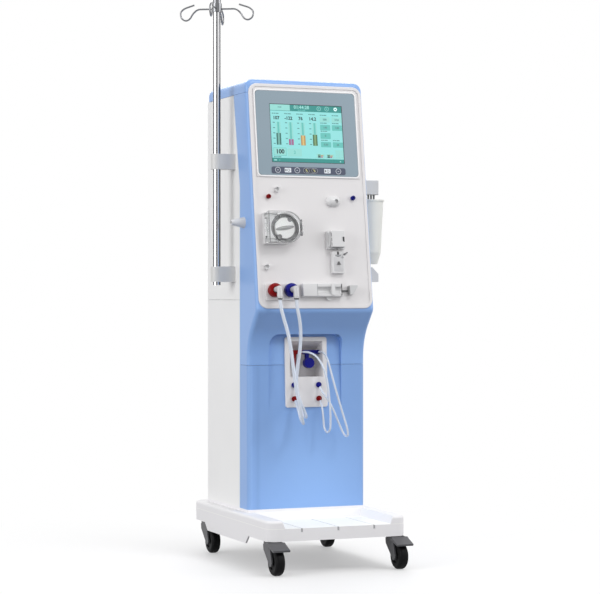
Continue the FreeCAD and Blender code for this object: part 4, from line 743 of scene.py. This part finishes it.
def pump_latch():
    """Grip of the pump cover's latch, with its feet and finger grooves."""
    drawing = Drawing("pump_latch")
    front, root = -32.0, -26.0
    grip = rounded(-48.6, 208, -46.4, 252, 1.0, 4)
    drawing.prism(grip, front, root, LATCH_GREY, 0.6)
    for low in (206, 247.5):
        foot = rounded(-47.6, low, -44.4, low + 6.5, 1.4, 4)
        drawing.prism(foot, front + 1.0, root, LATCH_GREY, 0.6)
    first, pitch = 221, 5
    for step in range(4):
        low = first + pitch * step
        groove = rounded(-48.8, low, -46.2, low + 1.4, 0.4, 2)
        drawing.prism(groove, front - 0.3, root - 0.5, SHADOW_GREY)
    drawing.done("pump_cover")


def cover_line(radius, left):
    """Return the outline of the pump's cover: round on the right, straight on the left."""
    turns = [math.radians(turn) for turn in range(-90, 91, 6)]
    arc = [(PUMP_X + radius * math.cos(turn), PUMP_Z + radius * math.sin(turn)) for turn in turns]
    return arc + [(PUMP_X - left, PUMP_Z + radius), (PUMP_X - left, PUMP_Z - radius)]


def cover_edging():
    """Thin line along the front edge of the pump's clear cover."""
    drawing = Drawing("cover_edging")
    radius, left, wide = 45.9, 55.4, 1.3
    near, far = -40.2, -38.6
    drawing.border(cover_line(radius, left), cover_line(radius - wide, left - wide), near, far,
                   EDGE_GREY)
    drawing.done("pump_cover")


def hinge_pins():
    """Ends of the pin in the pump cover's hinge."""
    drawing = Drawing("hinge_pins")
    pin_x, pin_y = -153.5, -24
    end = [(0, 0), (2.6, 0), (3.0, 0.5), (3.0, 2.4), (2.6, 3.0), (0, 3.0)]
    for low in (255.2, 201.8):
        drawing.lathe(end, (pin_x, pin_y, low), LATCH_GREY, axis="z", steps=20)
    drawing.done()


def clamp_marks():
    """Painted shadow across the line clamp's groove, painted shade in the groove, the clamp's face
    and lever.
    """
    drawing = Drawing("clamp_marks")
    # Painted shadow across the foot of the groove.
    bar = rounded(61.5, 150.4, 79.5, 155.6, 1.2, 3)
    drawing.prism(bar, -12.5, -11.4, SHADOW_GREY, 0.3)
    # Painted shade inside the groove.
    groove_shade = rounded(68.4, 150.6, 72.6, 164.4, 0.8, 3)
    drawing.prism(groove_shade, -10.6, -8.4, DARK, 0.2)
    face = rounded(56, 106, 85, 149, 3, 4)
    drawing.prism(face, -12.35, -11.6, CLAMP_FACE, 0.2)
    lever = [(99.5, 161.0), (97.5, 163.0), (87.0, 157.5), (84.5, 153.0), (89.0, 151.5)]
    drawing.prism(lever, -17.0, -11.8, LATCH_GREY, 0.4)
    drawing.done()


def syringe_marks():
    """Shadow lines of the syringe pump: its end plate's seal and the drive cover's joint."""
    drawing = Drawing("syringe_marks")
    end_plate = rounded(-1.8, 34.5, -0.6, 69.5, 0.5, 2)
    drawing.prism(end_plate, -15.25, -14.4, SHADOW_GREY)
    drive_joint = rounded(73.6, 35.5, 74.9, 68.5, 0.6, 2)
    drawing.prism(drive_joint, -16.9, -14.6, DARK)
    drawing.done()


def tray_groove_shade():
    """Painted shade in the tray's grooves and in the notches of its lip, laid as grey strips."""
    drawing = Drawing("tray_groove_shade", CABINET)
    half, foot, floor_z = 1.4, 125.6, 127.8
    lip_front, lip_face, rear = -405.3, -404.4, -203.0
    for x in (-110, 0, 110):
        outline = [(x + half, foot), (x + half, floor_z), (x - half, floor_z), (x - half, foot)]
        drawing.prism(outline, lip_face, rear, SHADOW_GREY)
        notch = rounded(x - 2.5, 117.5, x + 2.5, 127.7, 1.2, 3)
        drawing.prism(notch, lip_front, lip_face, NOTCH_SHADE)
    drawing.done()


def base_corner_webs():
    """Curved webs behind the base's rounded corners."""
    drawing = Drawing("base_corner_webs", CABINET @ Matrix.Rotation(-math.pi / 2, 4, "X"))
    corner_x, front_y, rear_y = 183, -379, 198
    outside, inside = 27.9, 23.5
    top, foot = 123.4, 93.4
    for side in (-1, 1):
        for end, y in ((-1, front_y), (1, rear_y)):
            middle = math.atan2(end, side)
            turns = [middle + math.radians(4 * step) for step in range(-6, 7)]
            outer, inner = ([(side * corner_x + radius * math.cos(turn),
                              y + radius * math.sin(turn)) for turn in turns]
                            for radius in (outside, inside))
            drawing.prism(outer + inner[::-1], -top, -foot, BASE_WHITE)
    drawing.done()


def screws():
    """Domed screws that hold the rear cover."""
    drawing = Drawing("cabinet_screws", CABINET)
    dome = [(0, -1.5), (1.6, -1.4), (3.0, -0.9), (3.6, 0.0), (3.6, 0.6), (0, 0.6)]
    rear_face = 175
    for x in (-165, 165):
        for z in (175, 560, 950, 1345):
            drawing.lathe(dome, (x, rear_face, z), SCREW, steps=20)
    drawing.done()


screen_recess_shade()
monitor_bead()
raceway_marks()
elbow_rings()
detector_trim()
pump_latch()
cover_edging()
hinge_pins()
clamp_marks()
syringe_marks()
tray_groove_shade()
base_corner_webs()
screws()


# Cords: the routes' points in millimetres of the cabinet's frame

CORDS = {
    "red_hose": ([
        (-130, -291.39, 766.75), (-130, -294.74, 743), (-120, -298, 706), (-108, -301, 664),
        (-100, -303, 614), (-94, -305, 562), (-87, -306, 514), (-76, -305, 466),
        (-67.7, -299, 434), (-57, -283, 413), (-45, -258, 408), (-43, -234, 419),
        (-42, -219, 438), (-42, -206.4, 454.8), (-42, -190.88, 468.8),
    ], 5, 0.4868),
    "blue_hose": ([
        (-80, -291.39, 766.75), (-80, -294.74, 743), (-71, -295, 704), (-67, -293, 660),
        (-70, -291, 612), (-77, -290, 568), (-81, -290, 526), (-75, -292, 486),
        (-60, -291, 455), (-46, -278, 433), (-36, -256, 425), (-34, -231, 434),
        (-38, -217, 456), (-41, -210, 478), (-42, -201.2, 497.57), (-42, -188.79, 508.74),
    ], 5, 0.4828),
    "red_tube": ([
        (-10, -156.76, 610.29), (-10, -171, 611.03), (-1, -188, 611), (11, -205, 604),
        (21, -220, 588), (29, -233, 564), (34, -242, 536), (37, -247, 506), (39, -250, 474),
        (41, -252, 444), (42, -251, 414), (42, -250, 389), (40.5, -231, 377), (38, -213, 388),
        (36.5, -211, 413), (35.5, -208, 438), (35, -201.4, 459.33), (35, -190.88, 468.8),
    ], 3, 0.4099),
    "blue_tube": ([
        (45, -156.76, 610.29), (45, -171, 611.03), (48, -187, 608), (52, -203, 593),
        (55, -218, 562), (60, -228, 530), (67, -236, 495), (77, -242, 455), (89, -246, 414),
        (97, -247, 388), (103, -238, 368), (103, -216, 365), (98, -203, 382), (87, -204, 406),
        (74, -206, 434), (61, -207, 460), (47, -207, 480), (35, -200.5, 498.2),
        (35, -188.79, 508.74),
    ], 3, 0.4797),
}


def hang_cord(name, points, radius):
    """Lay a cord as a smooth tube along its route."""
    curve = bpy.data.curves.new(name + "_line", "CURVE")
    curve.dimensions = "3D"
    spline = curve.splines.new("NURBS")
    places = [CABINET @ (Vector(point) * MM) for point in points]
    spline.points.add(len(places) - 1)
    for control, place in zip(spline.points, places):
        control.co = (*place, 1)
    spline.order_u = 3
    spline.use_endpoint_u = True
    spline.resolution_u = 8
    curve.bevel_depth = radius * MM
    curve.bevel_resolution = 5
    curve.use_fill_caps = True
    piece = bpy.data.objects.new(name + "_line", curve)
    bpy.context.collection.objects.link(piece)
    curve.materials.append(MATERIALS["hose"].material)
    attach(piece, "root")
    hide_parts(name)


for cord_name, (route, cord_radius, cord_length) in CORDS.items():
    hang_cord(cord_name, route, cord_radius)


# Camera, floor, light

camera_data = bpy.data.cameras.new("camera")
camera = bpy.data.objects.new("camera", camera_data)
bpy.context.collection.objects.link(camera)
camera_data.sensor_width = 36
camera_data.lens = 116.43
camera_data.shift_y = 0.00145
camera_data.clip_end = 100
camera.location = (-2.1361 + FRAME_X, -5.4049 + FRAME_Y, 0.7684)
camera.rotation_euler = (math.pi / 2, 0, CAMERA_TURN)
bpy.context.scene.camera = camera


def backdrop(nodes, links, seen, unseen):
    """Mix two shaders: one for what the eye, gloss and clear plastic see, one for the rest."""
    path = nodes.new("ShaderNodeLightPath")
    share = path.outputs["Is Camera Ray"]
    for name in ("Is Glossy Ray", "Is Transmission Ray"):
        most = nodes.new("ShaderNodeMath")
        most.operation = "MAXIMUM"
        links.new(share, most.inputs[0])
        links.new(path.outputs[name], most.inputs[1])
        share = most.outputs[0]
    mix = nodes.new("ShaderNodeMixShader")
    links.new(share, mix.inputs["Fac"])
    links.new(unseen, mix.inputs[1])
    links.new(seen, mix.inputs[2])
    return mix.outputs["Shader"]


world = bpy.data.worlds.new("studio")
bpy.context.scene.world = world
world.use_nodes = True
world_nodes = world.node_tree.nodes
world_links = world.node_tree.links
world_nodes.clear()


def white_room(strength):
    """Return a white background of a strength."""
    node = world_nodes.new("ShaderNodeBackground")
    node.inputs["Color"].default_value = (1, 1, 1, 1)
    node.inputs["Strength"].default_value = strength
    return node.outputs["Background"]


output = world_nodes.new("ShaderNodeOutputWorld")
world_links.new(backdrop(world_nodes, world_links, white_room(1.0), white_room(0.66)),
                output.inputs["Surface"])

floor_mesh = bpy.data.meshes.new("floor")
span = 40.0
floor_mesh.from_pydata([(-span, -span, 0), (span, -span, 0), (span, span, 0), (-span, span, 0)],
                       [], [(0, 1, 2, 3)])
floor = bpy.data.objects.new("floor", floor_mesh)
bpy.context.collection.objects.link(floor)
floor_finish = Finish("floor", (0.86, 0.86, 0.87, 1), 0.6)
glow = floor_finish.nodes.new("ShaderNodeEmission")
glow.inputs["Color"].default_value = (1, 1, 1, 1)
fade = floor_finish.ramp(floor_finish.away_from((0, 0, 0)), 0.35, 1.3, 0.35, 1.0)
near_floor = floor_finish.nodes.new("ShaderNodeMixShader")
floor_finish.links.new(fade, near_floor.inputs["Fac"])
floor_finish.links.new(floor_finish.shader.outputs["BSDF"], near_floor.inputs[1])
floor_finish.links.new(glow.outputs["Emission"], near_floor.inputs[2])
dull = floor_finish.nodes.new("ShaderNodeBsdfDiffuse")
dull.inputs["Color"].default_value = (0.27, 0.27, 0.28, 1)
seen_floor = backdrop(floor_finish.nodes, floor_finish.links, near_floor.outputs["Shader"],
                      dull.outputs["BSDF"])
floor_finish.links.new(seen_floor, floor_finish.nodes["Material Output"].inputs["Surface"])
floor_mesh.materials.append(floor_finish.material)


def lamp(name, place, target, size, watts):
    """Hang a soft square lamp that looks at a point."""
    data = bpy.data.lights.new(name, "AREA")
    data.size = size
    data.energy = watts
    light = bpy.data.objects.new(name, data)
    bpy.context.collection.objects.link(light)
    light.location = place
    light.rotation_euler = (Vector(target) - Vector(place)).to_track_quat("-Z", "Y").to_euler()


lamp("key", (2.2, -5.2, 6.2), (0, -0.1, 0.8), 2.2, 152)
lamp("side", (-6.5, -1.6, 2.2), (0, 0, 0.8), 4.0, 205)
lamp("right", (5.5, -3.5, 2.5), (0, 0, 0.8), 3.0, 122)
lamp("back", (0.8, 2.8, 2.6), (0, 0, 1.0), 2.0, 30)
lamp("top", (0.1, -1.1, 4.4), (0, -0.25, 0.2), 1.4, 14)

bpy.context.scene.view_settings.view_transform = "Standard"
